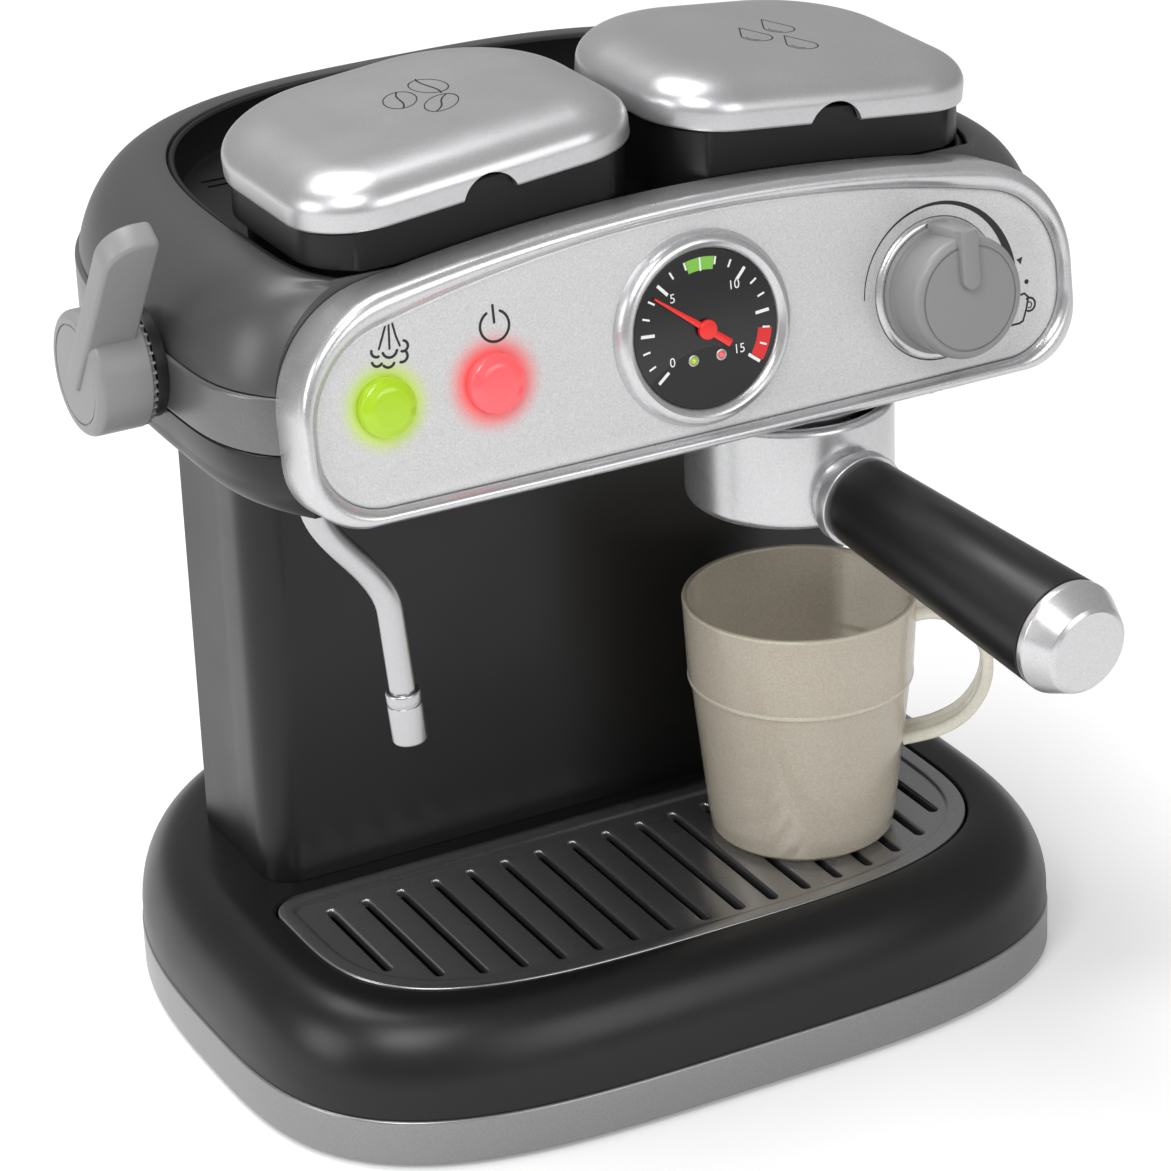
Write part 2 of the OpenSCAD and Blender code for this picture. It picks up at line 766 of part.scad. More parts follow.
// Outline of the panel at inset k, counter-clockwise seen from the front
function panel_outline(k) = let (m = min(k / bezel_w, 1), s = outer_shape * (1 - m) + inner_shape * m,
    g = crown_angle(s), r = s[1] - k, q = s[0] - k, end_u = panel_half_w - s[1],
    v = panel_half_w - s[0], low = panel_low_w + s[0])
    concat([for (t = [-90:7.5:0]) [v + q * cos(t), low + q * sin(t)]],
        [for (i = [0:12]) let (t = (90 - g) * i / 12) [end_u + r * cos(t), s[2] + r * sin(t)]],
        [for (i = [1:15]) let (t = 90 - g + 2 * g * i / 16)
            [(s[3] - k) * cos(t), crown_w(s) + (s[3] - k) * sin(t)]],
        [for (i = [0:12]) let (t = 90 + g + (90 - g) * i / 12)
            [-end_u + r * cos(t), s[2] + r * sin(t)]],
        [for (t = [180:7.5:270]) [-v + q * cos(t), low + q * sin(t)]],
        [for (i = [1:13]) [-v + 2 * v * i / 14, panel_low_w + k]]);

// Bezel ring at inset k and depth d
function bezel_ring(k, d) = [for (p = panel_outline(k)) [p[0], d + bow(p[0]), p[1]]];

// Bowed plate of the panel's outline between two depths
module bowed_plate(k, d0, d1) {
    intersection() {
        along_d(d0 - 1, d1 + 12) polygon(panel_outline(k));
        translate([0, bow_r, 0]) difference() {
            cylinder(r = bow_r - d0, h = 100, $fn = 720);
            translate([0, 0, -1]) cylinder(r = bow_r - d1, h = 102, $fn = 720);
        }
    }
}

module panel_bezel() {
    b = bezel_front;
    w = bezel_w;
    color("#d2d2d4") in_panel() difference() {
        loop_loft([bezel_ring(0, bezel_depth), bezel_ring(0, 0.8),
            bezel_ring(w * 0.1, -b * 0.45), bezel_ring(w * 0.28, -b * 0.85), bezel_ring(w * 0.5, -b),
            bezel_ring(w * 0.75, -b * 0.8), bezel_ring(w * 0.94, -b * 0.2),
            bezel_ring(w, 0.6), bezel_ring(w, bezel_depth)]);
        for (u = clip_places) d_rod(u, clip_w, bow(u) + 3, bow(u) + 8, clip_r + run_gap);
    }
}

module bezel_clips() {
    color("#1a1a1c") for (u = clip_places) in_panel()
        d_rod(u, clip_w, bow(u) + 3 + run_gap, bow(u) + 8 - run_gap, clip_r);
}

module panel_fascia() {
    color("#cfcfd1") in_panel() difference() {
        bowed_plate(bezel_w + fit, fascia_d0, fascia_d0 + fascia_t);
        d_rod(0, dial_w, -5, 20, dial_r + fit);
        d_rod(knob_u, knob_w, -5, 20, knob_r + flange_out + fit);
        for (u = button_places) d_rod(u, button_w, -5, 20, button_r + run_gap);
    }
}

module panel_carrier() {
    color("#1d1d1f") in_panel() difference() {
        union() {
            bowed_plate(bezel_w + fit, carrier_d0, carrier_d0 + carrier_t);
            difference() {
                bowed_plate(bezel_w + fit, fascia_d0 + fascia_t + 2 * fit, carrier_d0 + 0.2);
                along_d(-5, 30) polygon(panel_outline(bezel_w + fit + 1.5));
            }
            d_rod(0, dial_w, fascia_d0 + fascia_t - 0.4, carrier_d0 + 1, 4);
            for (p = post_places) d_rod(p[0], p[1], carrier_d0 + bow(p[0]), board_d, post_r);
        }
        d_rod(0, dial_w, -5, 20, pin_r + run_gap);
        d_rod(knob_u, knob_w, -5, 30, shaft_r + 0.6);
        d_rod(knob_u, knob_w, -5, carrier_d0 + bow(knob_u - knob_r - flange_out),
            knob_r + flange_out + fit);
        for (u = button_places) {
            d_rod(u, button_w, -5, 30, stem_r + run_gap);
            d_rod(u, button_w, -5, carrier_d0 + bow(u), spring_r + 0.4);
        }
        along_d(5, 12) translate([-10, 20 + window_w0]) square([6, 3]);
    }
}

module gauge_ring() {
    lip = dial_ring_proud;
    color("#dcdcde") in_panel() translate([0, 0, dial_w]) rotate([90, 0, 0]) difference() {
        rotate_extrude($fn = 96) polygon([[dial_r + fit, -fascia_d0], [dial_ring_r, -fascia_d0],
            [dial_ring_r, lip * 0.2], [dial_ring_r - 0.6, lip * 0.6], [dial_ring_r - 1.7, lip * 0.93],
            [dial_ring_r - 2.4, lip], [dial_r + 1.2, lip * 0.95], [dial_r + 0.4, lip * 0.7],
            [dial_r, lip * 0.35], [dial_r, -fascia_d0]]);
        translate([0, 0, -bow_r]) rotate([-90, 0, 0]) translate([0, 0, -60])
            cylinder(r = bow_r - fascia_d0, h = 120, $fn = 720);
    }
}

module gauge_dial() {
    color("#151517") in_panel() difference() {
        d_rod(0, dial_w, dial_d0, fascia_d0 + fascia_t - 0.4, dial_r - fit);
        d_rod(0, dial_w, -5, 20, pin_r + run_gap);
    }
}

module gauge_needle() {
    tip = 0.857 * dial_r;
    tail = 0.38 * dial_r;
    color("#e23030") in_panel() {
        d_rod(0, dial_w, dial_d0 - 1.2, carrier_d0 + carrier_t - 0.5, pin_r);
        d_rod(0, dial_w, dial_d0 - 1.5, dial_d0 - 0.4, 0.124 * dial_r);
        translate([0, 0, dial_w]) rotate([0, -needle_rest, 0]) along_d(dial_d0 - 1.2, dial_d0 - 0.6)
            polygon([[-0.25, tip], [-0.75, 0], [-0.9, -tail], [0.9, -tail], [0.75, 0], [0.25, tip]]);
    }
}

module circuit_board() {
    color("#1f5a3a") in_panel() along_d(board_d, board_d + board_t)
        translate([board_u0, board_w0]) square([board_u1 - board_u0, board_w1 - board_w0]);
}

// Push switches, their lamps and the gauge lamps, all on the board
module board_parts() {
    color("#50545a") in_panel() {
        for (u = button_places) {
            d_rod(u, button_w, board_d - 3.2, board_d, 3);
            d_rod(u, button_w - 8, board_d - 3.5, board_d, 1.5);
        }
        along_d(board_d - 2, board_d) translate([-30, board_w0 + 6]) square([12, 12]);
        along_d(board_d - 6, board_d) translate([0, board_w0 + 2]) square([14, 5]);
    }
}

// Depth of the front of a button's captive flange, behind the bowed fascia
function flange_depth(u) = fascia_d0 + fascia_t + bow(abs(u) + button_r + button_flange_out)
    + run_gap;

// Button: domed cap, captive flange behind the fascia, stem down to its switch
module button(u) {
    face = fascia_d0 + bow(u);
    back = flange_depth(u);
    in_panel() translate([u, 0, button_w]) rotate([90, 0, 0]) rotate_extrude()
        polygon([[0, button_proud - face], [button_r * 0.55, button_proud * 0.97 - face],
            [button_r * 0.86, button_proud * 0.8 - face], [button_r, button_proud * 0.5 - face],
            [button_r, -back], [button_r + button_flange_out, -back],
            [button_r + button_flange_out, -back - flange_t],
            [stem_r, -back - flange_t], [stem_r, -(board_d - 3.2 - button_travel - 0.15)],
            [0, -(board_d - 3.2 - button_travel - 0.15)]]);
}

module button_spring(u) {
    d0 = flange_depth(u) + flange_t + run_gap;
    d1 = carrier_d0 + bow(u) - run_gap;
    in_panel() difference() {
        d_rod(u, button_w, d0, d1, spring_r);
        d_rod(u, button_w, d0 - 1, d1 + 1, spring_r - 1.3);
    }
}

module steam_button() { color("#a8cc1e") button(button_places[0]); }
module power_button() { color("#f0555a") button(button_places[1]); }
module steam_button_spring() { color("#c0c0c0") button_spring(button_places[0]); }
module power_button_spring() { color("#c0c0c0") button_spring(button_places[1]); }

knob_face = fascia_d0 + bow(knob_u);
knob_seat = fascia_d0 + bow(knob_u - flange_out - knob_r) - 0.7;
valve_d0 = 14;
valve_d1 = 30;
valve_r = 8;
plug_r = 5;

module knob_flange() {
    r = knob_r + flange_out;
    back = carrier_d0 + bow(knob_u - r) - fit;
    color("#dadadc") in_panel() translate([knob_u, 0, knob_w]) rotate([90, 0, 0]) rotate_extrude()
        polygon([[knob_r - 4, -knob_seat], [r - 1.2, -knob_seat], [r - 0.4, -knob_seat - 0.3],
            [r, -knob_seat - 1], [r, -back], [knob_r - 4, -back]]);
}

module main_knob() {
    h = knob_h - knob_face;
    foot = free_gap - knob_seat;
    front = knob_front_r;
    near = ridge_w / 2 + 2.3;
    color("#98989b") in_panel() translate([knob_u, 0, knob_w]) rotate([90, 0, 0]) union() {
        difference() {
            rotate_extrude($fn = 96) polygon([[0, foot], [knob_r, foot], [knob_r, foot + 1.1],
                [knob_r - 1.2, foot + 1.7], [front, h - 2.4], [front, h - 1.4],
                [front - 0.5, h - 0.4], [front - 1.5, h], [0, h]]);
            tube(front - 1.9, front - 2.4, h - 0.4, h + 1);
        }
        intersection() {
            translate([0, 0, foot]) linear_extrude(h - foot + ridge_h) union() {
                translate([-ridge_w / 2, near]) square([ridge_w, front + ridge_h - near]);
                translate([0, near]) circle(d = ridge_w);
            }
            union() {
                translate([-10, 0, h - 1]) cube([20, 20, 10]);
                translate([-10, knob_r - 3, foot]) cube([20, 20, 20]);
            }
        }
        translate([0, 0, -valve_d0]) cylinder(r = shaft_r, h = valve_d0 + foot + 0.1);
    }
}

module valve_plug() {
    color("#c9c9c9") in_panel() difference() {
        d_rod(knob_u, knob_w, valve_d0, valve_d1 - 3, plug_r);
        translate([knob_u, (valve_d0 + valve_d1) / 2, knob_w]) cylinder(r = 1.5, h = 20, center = true);
    }
}

module valve_body() {
    mid = (valve_d0 + valve_d1) / 2;
    back = carrier_d0 + carrier_t + bow(knob_u + valve_r) + 2 * fit;
    color("#d8d8d0") in_panel() difference() {
        union() {
            d_rod(knob_u, knob_w, back, valve_d1, valve_r);
            translate([knob_u, mid, knob_w - valve_r - 2]) cylinder(r = 2.2, h = 6);
            d_rod(knob_u, knob_w, valve_d1 - 1, valve_d1 + 4, 2.2);
        }
        d_rod(knob_u, knob_w, back - 1, valve_d1 - 3 + 0.1, plug_r + run_gap);
        translate([knob_u, mid, knob_w - valve_r - 3]) cylinder(r = 1.2, h = 8);
        d_rod(knob_u, knob_w, valve_d1 - 4, valve_d1 + 5, 1.2);
    }
}

// ---------------------------------------------------------------- hoses and wires

// Point of the panel's frame in the part's own frame
function from_panel(u, d, w) = [u, panel_y + w * sin(panel_tilt) + d * cos(panel_tilt),
    panel_z + w * cos(panel_tilt) - d * sin(panel_tilt)];

module tank_hose() {
    a = from_panel(knob_u, valve_d1 + 4.3, knob_w);
    b = [50, 2, sump_z - 4.3];
    color("#c8d4dc") sweep(smooth([a, a + [0, 5, -0.69], [62, -22, 178], [54, -9, 173],
        [50.4, 0.6, 172.6], [50, 2, 175], b], 4), 2.2, 8, [1, 0.2, 0.1]);
}

module spout_hose() {
    a = from_panel(knob_u, (valve_d0 + valve_d1) / 2, knob_w - valve_r - 2.5);
    b = [group_x + group_neck_r + 3.7, group_y, head_z + 7.5];
    color("#c8d4dc") sweep(smooth([a, a + [-0.5, 0.4, -2], [61, -41, head_z + 7.8],
        [57, -38, head_z + 7.5], b], 5), 2, 8, [0, 1, 0.2]);
}

module wire_harness() {
    c = from_panel(-20, board_d + board_t + 1.2, board_w0 + 4);
    color("#b03030") sweep(smooth([[0, bay_y, bay_z1 + bay_wall + 0.2], [0, bay_y, 40],
        [-4, bay_y, 100], [-2, bay_y, 150], [0, bay_y, 168], [-6, 30, 178], [-16, -10, 178],
        c + [0, 6, 0], c], 6), 1.6, 8, [1, 0.1, 0.1]);
}

// ---------------------------------------------------------------- steam knob and wand

module along_x(x0, x1) {
    translate([x0, steam_y, steam_z]) rotate([0, 90, 0]) linear_extrude(x1 - x0) children();
}

module steam_boss() {
    x0 = -body_half_w - 3;
    color("#1b1b1d") difference() {
        union() {
            along_x(x0, -body_half_w - 0.03) circle(r = steam_r - 1.5);
            along_x(x0, -body_half_w + 7) circle(r = steam_boss_r);
        }
        along_x(x0 - 1, -body_half_w + 8) circle(r = steam_shaft_r + run_gap);
    }
}

// Toothed drum with a lever blade whose outer edge runs down onto the drum's face
module steam_knob() {
    x0 = steam_face_x;
    x1 = steam_foot_x;
    teeth = 30;
    color("#8e8e91") union() {
        along_x(x0 + 3, x1 - 5) circle(r = steam_r);
        along_x(x1 - 5.5, x1) circle(r = steam_r - 1);
        for (i = [0:teeth - 1]) translate([x1 - 5, steam_y, steam_z]) rotate([360 / teeth * i, 0, 0])
            translate([-0.5, -0.75, steam_r - 2]) cube([5.5, 1.5, 1.9]);
        translate([x0, steam_y, steam_z]) rotate([0, 90, 0]) rotate_extrude()
            polygon([[0, 0.4], [steam_r - 4, 0.4], [steam_r - 3.4, 0], [steam_r - 2.2, 0.3],
                [steam_r - 0.8, 1.4], [steam_r, 3.1], [0, 3.1]]);
        translate([x0, steam_y, steam_z]) rotate([lever_lean, 0, 0]) translate([0, lever_t / 2, 0])
            rotate([90, 0, 0]) linear_extrude(lever_t) blade();
        along_x(x1 - 1, -body_half_w + 9) circle(r = steam_shaft_r);
    }
}

// Side outline of the lever: X towards the head, Y along the lever
module blade() {
    r = 8;
    w = 12.5;
    difference() {
        union() {
            translate([-0.8, -3]) square([w, lever_len + 3 - r]);
            translate([-0.8 + r, lever_len - r]) circle(r = r);
            translate([-0.8 + r, lever_len - 2 * r]) square([w - r, 2 * r]);
        }
        translate([4, -4]) square([w, 4 + steam_r * 0.8]);
    }
}

module wand_collar() {
    color("#1b1b1d") translate([wand_x, wand_y, head_z]) difference() {
        tube(wand_r + 2.5, 0, -0.8, 8);
        tube(wand_r + 0.1 + run_gap, 0, -3, 10);
    }
}

wand_top = [wand_x, wand_y, head_z - 1.5];
wand_low = wand_top + wand_bend;
wand_along = [sin(wand_lean), 0, -cos(wand_lean)];

// Straight steel shaft in the collar, a smooth bend, and a leaning tube to the nozzle
module steam_wand() {
    route = [wand_top + [0, 0, 2], wand_top + [0.6, 0, -1.8], wand_top + wand_bend * 0.38,
        wand_top + wand_bend * 0.8 + [1.6, 0, 0], wand_low, wand_low + 12 * wand_along,
        wand_low + (wand_drop - 4.2) * wand_along];
    color("#c4c4c6") union() {
        translate(wand_top) cylinder(r = wand_r + 0.1, h = 11);
        sweep(concat(smooth([for (i = [0:5]) route[i]], 3), [route[6]]), wand_r - 0.05, 20,
            [0.2, 1, 0]);
    }
}

module wand_nozzle() {
    color("#b4b4b6") translate(wand_low + wand_drop * wand_along) rotate([0, -wand_lean, 0])
        difference() {
            rotate_extrude() polygon([[0, 0], [nozzle_r - 0.6, 0], [nozzle_r, 0.8],
                [nozzle_r, nozzle_len - 0.8], [nozzle_r - 0.6, nozzle_len], [0, nozzle_len]]);
            tube(wand_r, 0, 4, nozzle_len + 1);
            tube(0.8, 0, -1, 5);
        }
}

// ---------------------------------------------------------------- group

module at_group() {
    translate([group_x, group_y, 0]) children();
}

// Two facing sectors of a ring, for the bayonet
module sectors(r_out, r_in, z0, z1) {
    far = 2 * r_out;
    for (side = [0, 180]) rotate([0, 0, side]) intersection() {
        tube(r_out, r_in, z0, z1);
        translate([0, 0, z0 - 1]) linear_extrude(z1 - z0 + 2) polygon([[0, 0],
            [far, -far * tan(lug_angle)], [far, far * tan(lug_angle)]]);
    }
}

module group_ring() {
    z1 = filter_z1 + 0.2;
    color("#d4d4d6") at_group() difference() {
        union() {
            tube(ring_r, 0, z1, head_z - 1.2);
            tube(shower_r, 0, lug_z - 0.5, z1 + 0.1);
            sectors(lug_r, shower_r - 1, lug_z, lug_z + lug_t);
            tube(group_neck_r, 0, head_z - 2, head_z + 10);
            translate([0, 0, head_z + 7.5]) rotate([0, 90, 0])
                cylinder(r = 2.2, h = group_neck_r + 3);
        }
        tube(3, 0, lug_z - 2, head_z + 8);
        translate([0, 0, head_z + 7.5]) rotate([0, 90, 0]) cylinder(r = 1.2, h = 30);
    }
}

module portafilter_body() {
    r = filter_r;
    inner = r - filter_wall;
    color("#c2c2c4") at_group() difference() {
        union() {
            rotate_extrude($fn = 128) polygon(concat(
                [[0, filter_z0], [r - 2.6, filter_z0]],
                [for (t = [-75:15:0]) [r - 2.2 + 2.2 * cos(t), filter_z0 + 2.2 + 2.2 * sin(t)]],
                [for (t = [0:15:90]) [r - 1.6 + 1.6 * cos(t), filter_z1 - 1.6 + 1.6 * sin(t)]],
                [[inner, filter_z1], [inner, filter_z0 + filter_floor], [0, filter_z0 + filter_floor]]));
            sectors(inner + 0.5, lug_r - 2.2, lug_z + lug_t + 0.2, filter_z1 - 1);
        }
        tube(outlet_r, 0, filter_z0 - 1, filter_z0 + filter_floor + 1);
        at_handle() translate([0, 0, filter_r - 6]) cylinder(r = 4 + run_gap, h = 12);
    }
}

module filter_basket() {
    r = filter_r - filter_wall - 0.2;
    z0 = filter_z0 + filter_floor + 0.1;
    color("#e0e0e0") at_group() difference() {
        tube(r, 0, z0, lug_z - 2);
        tube(r - 1, 0, z0 + 1.2, lug_z);
        for (i = [0:5]) rotate([0, 0, 60 * i]) translate([8, 0, 0]) tube(1, 0, z0 - 1, z0 + 3);
        tube(outlet_r - 2, 0, z0 - 1, z0 + 3);
    }
}

// Frame of the handle, placed inside the group's frame: Z runs out along the handle
module at_handle() {
    translate([0, 0, handle_z]) rotate([0, 0, handle_turn]) rotate([90 + handle_tilt, 0, 0])
        children();
}

module handle_neck() {
    r = filter_r;
    color("#cfcfd1") at_group() difference() {
        at_handle() rotate_extrude() polygon([[0, r - 4.5], [4, r - 4.5], [4, r - 2], [neck_r, r - 5],
            [neck_r, r + 0.6], [neck_r + 0.8, r + 0.8], [collar_r, r + 1], [collar_r, grip_start],
            [3, grip_start], [3, grip_start + 30], [0, grip_start + 30]]);
        tube(filter_r + 0.02, 0, handle_z - 30, handle_z + 30);
    }
}

module handle_grip() {
    z1 = handle_len - cap_len;
    color("#1c1c1e") at_group() at_handle() difference() {
        rotate_extrude($fn = 96) polygon([[0, grip_start], [grip_r0 - 0.6, grip_start],
            [grip_r0, grip_start + 0.8], [grip_r, z1], [0, z1]]);
        tube(3 + run_gap, 0, grip_start - 1, grip_start + 31);
        tube(2, 0, z1 - 10, z1 + 1);
    }
}

module handle_cap() {
    z0 = handle_len - cap_len;
    color("#d0d0d2") at_group() at_handle() {
        rotate_extrude($fn = 96) polygon([[0, z0], [grip_r + 0.1, z0], [grip_r + 0.1, z0 + 1.6],
            [grip_r - 0.4, z0 + 3], [grip_r - 2.8, handle_len - 1],
            [grip_r - 3.8, handle_len - 0.2], [grip_r - 4.6, handle_len], [0, handle_len]]);
        translate([0, 0, z0 - 9.5]) cylinder(r = 2 - run_gap, h = 9.6);
    }
}

// ---------------------------------------------------------------- tubs and lids

function corner_arc(x, y, r, t0) = [for (i = [0:14]) let (t = t0 + 90 * i / 14)
    [x + r * cos(t), y + r * sin(t)]];

// Outline of the right lid at inset k, from the lid's own middle
function lid_outline(k) = let (x = lid_w / 2 - k, y = lid_d / 2 - k)
    concat(corner_arc(x - lid_outer_r + k, y - lid_outer_r + k, lid_outer_r - k, 0),
        corner_arc(-x + lid_inner_r - k, y - lid_inner_r + k, lid_inner_r - k, 90),
        corner_arc(-x + lid_front_r - k, -y + lid_front_r - k, lid_front_r - k, 180),
        corner_arc(x - lid_front_r + k, -y + lid_front_r - k, lid_front_r - k, 270));

lid_x = lid_gap / 2 + lid_w / 2;
lid_y = lid_y0 + lid_d / 2;

// Tilted frame of the right lid, its lower edge at height 0
module at_lid() {
    translate([lid_x, lid_y, lid_z]) rotate([0, lid_tilt, 0]) children();
}

module right_lid() {
    k = lid_round;
    h = lid_wall_h + lid_round_h;
    at_lid() difference() {
        loft(concat(
            [for (t = [90, 60, 30, 0]) at_height(lid_outline(lid_wall + (k - lid_wall) * (1 - cos(t))),
                lid_wall_h + (lid_round_h - lid_wall) * sin(t))],
            [at_height(lid_outline(lid_wall), 0), at_height(lid_outline(0.5), 0),
             at_height(lid_outline(0), 0.6)],
            [for (t = [0:15:90]) at_height(lid_outline(k * (1 - cos(t))),
                lid_wall_h + lid_round_h * sin(t))]));
        translate([0, -lid_d / 2 + lid_wall + 1, notch_z]) rotate([90, 0, 0])
            cylinder(r = notch_r, h = lid_wall + 2);
    }
}

module below_lid(z) {
    at_lid() translate([-80, -80, z - 120]) cube([160, 160, 120]);
}

module right_tub(sump) {
    floor_z = tray_floor_z + 0.05;
    low_front = panel_surface(70, rim_z, skin_d + front_skin + 1.4) + 0.5;
    bezel_top = crown_w(outer_shape) + outer_shape[3];
    front = max(lid_y0 + tub_front_in, from_panel(0, bezel_depth, bezel_top)[1] + 0.4);
    difference() {
        union() {
            intersection() {
                translate([lid_x, lid_y, 0]) union() {
                    intersection() {
                        plate(lid_outline(tub_low_in), floor_z, rim_z + 2);
                        block([-beyond, low_front - lid_y, 0], [beyond, beyond, beyond]);
                    }
                    plate(lid_outline(tub_in), rim_z + 0.6, lid_z + 20);
                }
                below_lid(-0.2);
                block([-beyond, front, 0], [beyond, beyond, beyond]);
            }
            at_lid() difference() {
                plate(lid_outline(collar_in), -3, collar_h);
                plate(lid_outline(collar_in + collar_t), -4, collar_h + 1);
            }
            if (sump) {
                block([sump_x[0], sump_y[0], sump_z], [sump_x[1], sump_y[1], floor_z + 1]);
                translate([50, 2, sump_z - 4]) cylinder(r = 2.2, h = 5);
            }
        }
        translate([lid_x, lid_y, floor_z + tub_wall]) linear_extrude(60) intersection() {
            polygon(lid_outline(tub_low_in + tub_wall));
            translate([-beyond, low_front - lid_y + tub_wall]) square(2 * beyond);
        }
        if (sump) {
            block([sump_x[0] + tub_wall, sump_y[0] + tub_wall, sump_z + tub_wall],
                [sump_x[1] - tub_wall, sump_y[1] - tub_wall, floor_z + 5]);
            translate([50, 2, sump_z - 5]) cylinder(r = 1.2, h = 9);
        }
    }
}

module water_tank() { color("#1b1b1d") right_tub(true); }
module water_lid() { color("#b8b8ba") right_lid(); }
module bean_tub() { color("#1b1b1d") mirror([1, 0, 0]) right_tub(false); }
module bean_lid() { color("#b8b8ba") mirror([1, 0, 0]) right_lid(); }

// ---------------------------------------------------------------- cup

module cup_side(extra) {
    r0 = cup_foot_r;
    rotate_extrude($fn = 96) polygon([[0, 0.6], [r0 - 6, 0.6], [r0 - 5, 0], [r0 - 3, 0],
        [r0 - 1.3, 1.2], [r0 - 0.2 + extra, cup_foot_h - 1.5], [r0 + extra, cup_foot_h],
        [cup_step_r + extra, cup_step_h], [cup_step_r + 0.6 + extra, cup_step_h + 0.8],
        [cup_r + extra, cup_h - 0.8], [cup_r - 0.5 + extra, cup_h], [0, cup_h]]);
}

module cup() {
    w = cup_wall;
    ear_r = 17.8;
    ear_t = 3.4;
    ear_z = 42;
    color("#d9cdb8") translate([cup_x, cup_y, grid_z + 0.05]) difference() {
        union() {
            cup_side(0);
            difference() {
                rotate([0, 0, cup_handle_turn]) translate([cup_r - 1.3, cup_handle_w / 2, ear_z])
                    rotate([90, 0, 0]) linear_extrude(cup_handle_w) difference() {
                        circle(r = ear_r);
                        circle(r = ear_r - ear_t);
                    }
                cup_side(-1);
            }
        }
        rotate_extrude($fn = 96) polygon([[0, w + 0.6], [cup_foot_r - 4, w + 0.6],
            [cup_foot_r - w - 0.4, cup_foot_h - 1], [cup_step_r - w, cup_step_h],
            [cup_r - w, cup_h + 0.1], [0, cup_h + 0.1]]);
    }
}

base_plate();
rubber_feet();
base_skirt();
base_shell();
base_screws();
battery_box();
batteries();
battery_contacts();
battery_door();
battery_door_screw();
speaker();
drip_tray();
drip_grid();
column_front();
column_back();
column_screws();
head_lower_shell();
belt_band();
head_upper_shell();
head_screws();
top_tray();
panel_bezel();
bezel_clips();
panel_fascia();
panel_carrier();
gauge_ring();
gauge_dial();
gauge_needle();
circuit_board();
board_parts();
steam_button();
power_button();
steam_button_spring();
power_button_spring();
knob_flange();
main_knob();
valve_body();
valve_plug();
tank_hose();
spout_hose();
wire_harness();
steam_boss();
steam_knob();
wand_collar();
steam_wand();
wand_nozzle();
group_ring();
portafilter_body();
filter_basket();
handle_neck();
handle_grip();
handle_cap();
water_tank();
water_lid();
bean_tub();
bean_lid();
cup();
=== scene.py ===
"""Toy coffee maker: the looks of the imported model. Sizes are millimetres in its frame,
turned into metres where a mesh is made. +Z is up and -Y is the front."""
from math import asin, atan2, cos, degrees, hypot, pi, radians, sin, sqrt, tan

import bmesh
import bpy
import numpy as np
from mathutils import Matrix, Vector
from mathutils.geometry import delaunay_2d_cdt


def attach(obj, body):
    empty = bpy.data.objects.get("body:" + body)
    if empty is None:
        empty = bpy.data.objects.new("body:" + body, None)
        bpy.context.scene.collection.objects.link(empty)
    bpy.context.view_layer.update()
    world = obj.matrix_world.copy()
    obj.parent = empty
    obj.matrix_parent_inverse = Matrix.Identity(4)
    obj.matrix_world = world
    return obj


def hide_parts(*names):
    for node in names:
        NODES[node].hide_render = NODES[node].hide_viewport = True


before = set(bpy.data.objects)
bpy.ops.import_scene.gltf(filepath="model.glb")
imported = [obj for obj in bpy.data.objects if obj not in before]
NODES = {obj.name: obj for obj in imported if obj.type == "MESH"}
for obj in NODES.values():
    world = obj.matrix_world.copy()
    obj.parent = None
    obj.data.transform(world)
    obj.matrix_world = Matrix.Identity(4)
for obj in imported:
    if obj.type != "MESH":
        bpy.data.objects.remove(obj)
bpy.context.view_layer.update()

MM = 0.001
OPEN = (False, False)

# ---- sizes of the body
HALF_W = 110.0
WALL = 2.5
SKIRT_Z0, SKIRT_TOP = 1.5, 13.2
DECK_Z = 37.8
DOME_Z0, DOME_RUN, DOME_LIP = SKIRT_TOP + 3.3, 14.7, 0.35
GRID_Z, GRID_T = DECK_Z - 0.8, 2.2
GRID_HALF_W, GRID_BACK_Y, GRID_Y0, GRID_FRONT, GRID_POWER = 89.0, 1.0, -16.0, 51.5, 3.2
HEAD_Z = 163.0
BELT_Z0, BELT_Z1 = 178.4, 192.0
SHOULDER_Z0, SHOULDER_RUN = BELT_Z0 + 4.5, 20.5
RIM_Z = 215.0
TRAY_FLOOR_Z = 204.0
SEAM_Y = 50.0

PANEL_Y, PANEL_Z = -72.2, 147.0
TILT = radians(7.8)
BOW_R = 4000.0
PANEL_HALF_W, PANEL_LOW_W = 100.0, 17.5
# Panel's outline: radius of the low corners, radius and height of the ends, radius of the crown
OUTER_SHAPE = (14.0, 28.0, 42.0, 450.0)
INNER_SHAPE = (19.0, 26.0, 40.5, 325.0)
LOW_REACH, END_REACH = 8.0, 12.0
BEZEL_W, BEZEL_DEPTH, BEZEL_FRONT = 3.5, 14.0, 1.5
SKIN_D = BEZEL_DEPTH + 0.15
FACE_D, FACE_T = 1.0, 2.0

DIAL_W, DIAL_R, DIAL_D = 45.5, 18.5, -0.7
BUTTON_W, BUTTON_R = 43.8, 6.8
BUTTON_U = {"steam": -79.3, "power": -52.8}
KNOB_U, KNOB_W, KNOB_R, KNOB_FRONT_R, KNOB_H = 62.9, 42.0, 15.2, 14.5, 14.2
FLANGE_R = 17.0

STEAM_Y, STEAM_Z, STEAM_R = -2.5, 187.25, 14.7
STEAM_FACE_X, STEAM_FOOT_X = -127.5, -113.3
LEVER_LEAN, LEVER_LEN, LEVER_T, LEVER_W = radians(34), 49.0, 6.8, 12.5

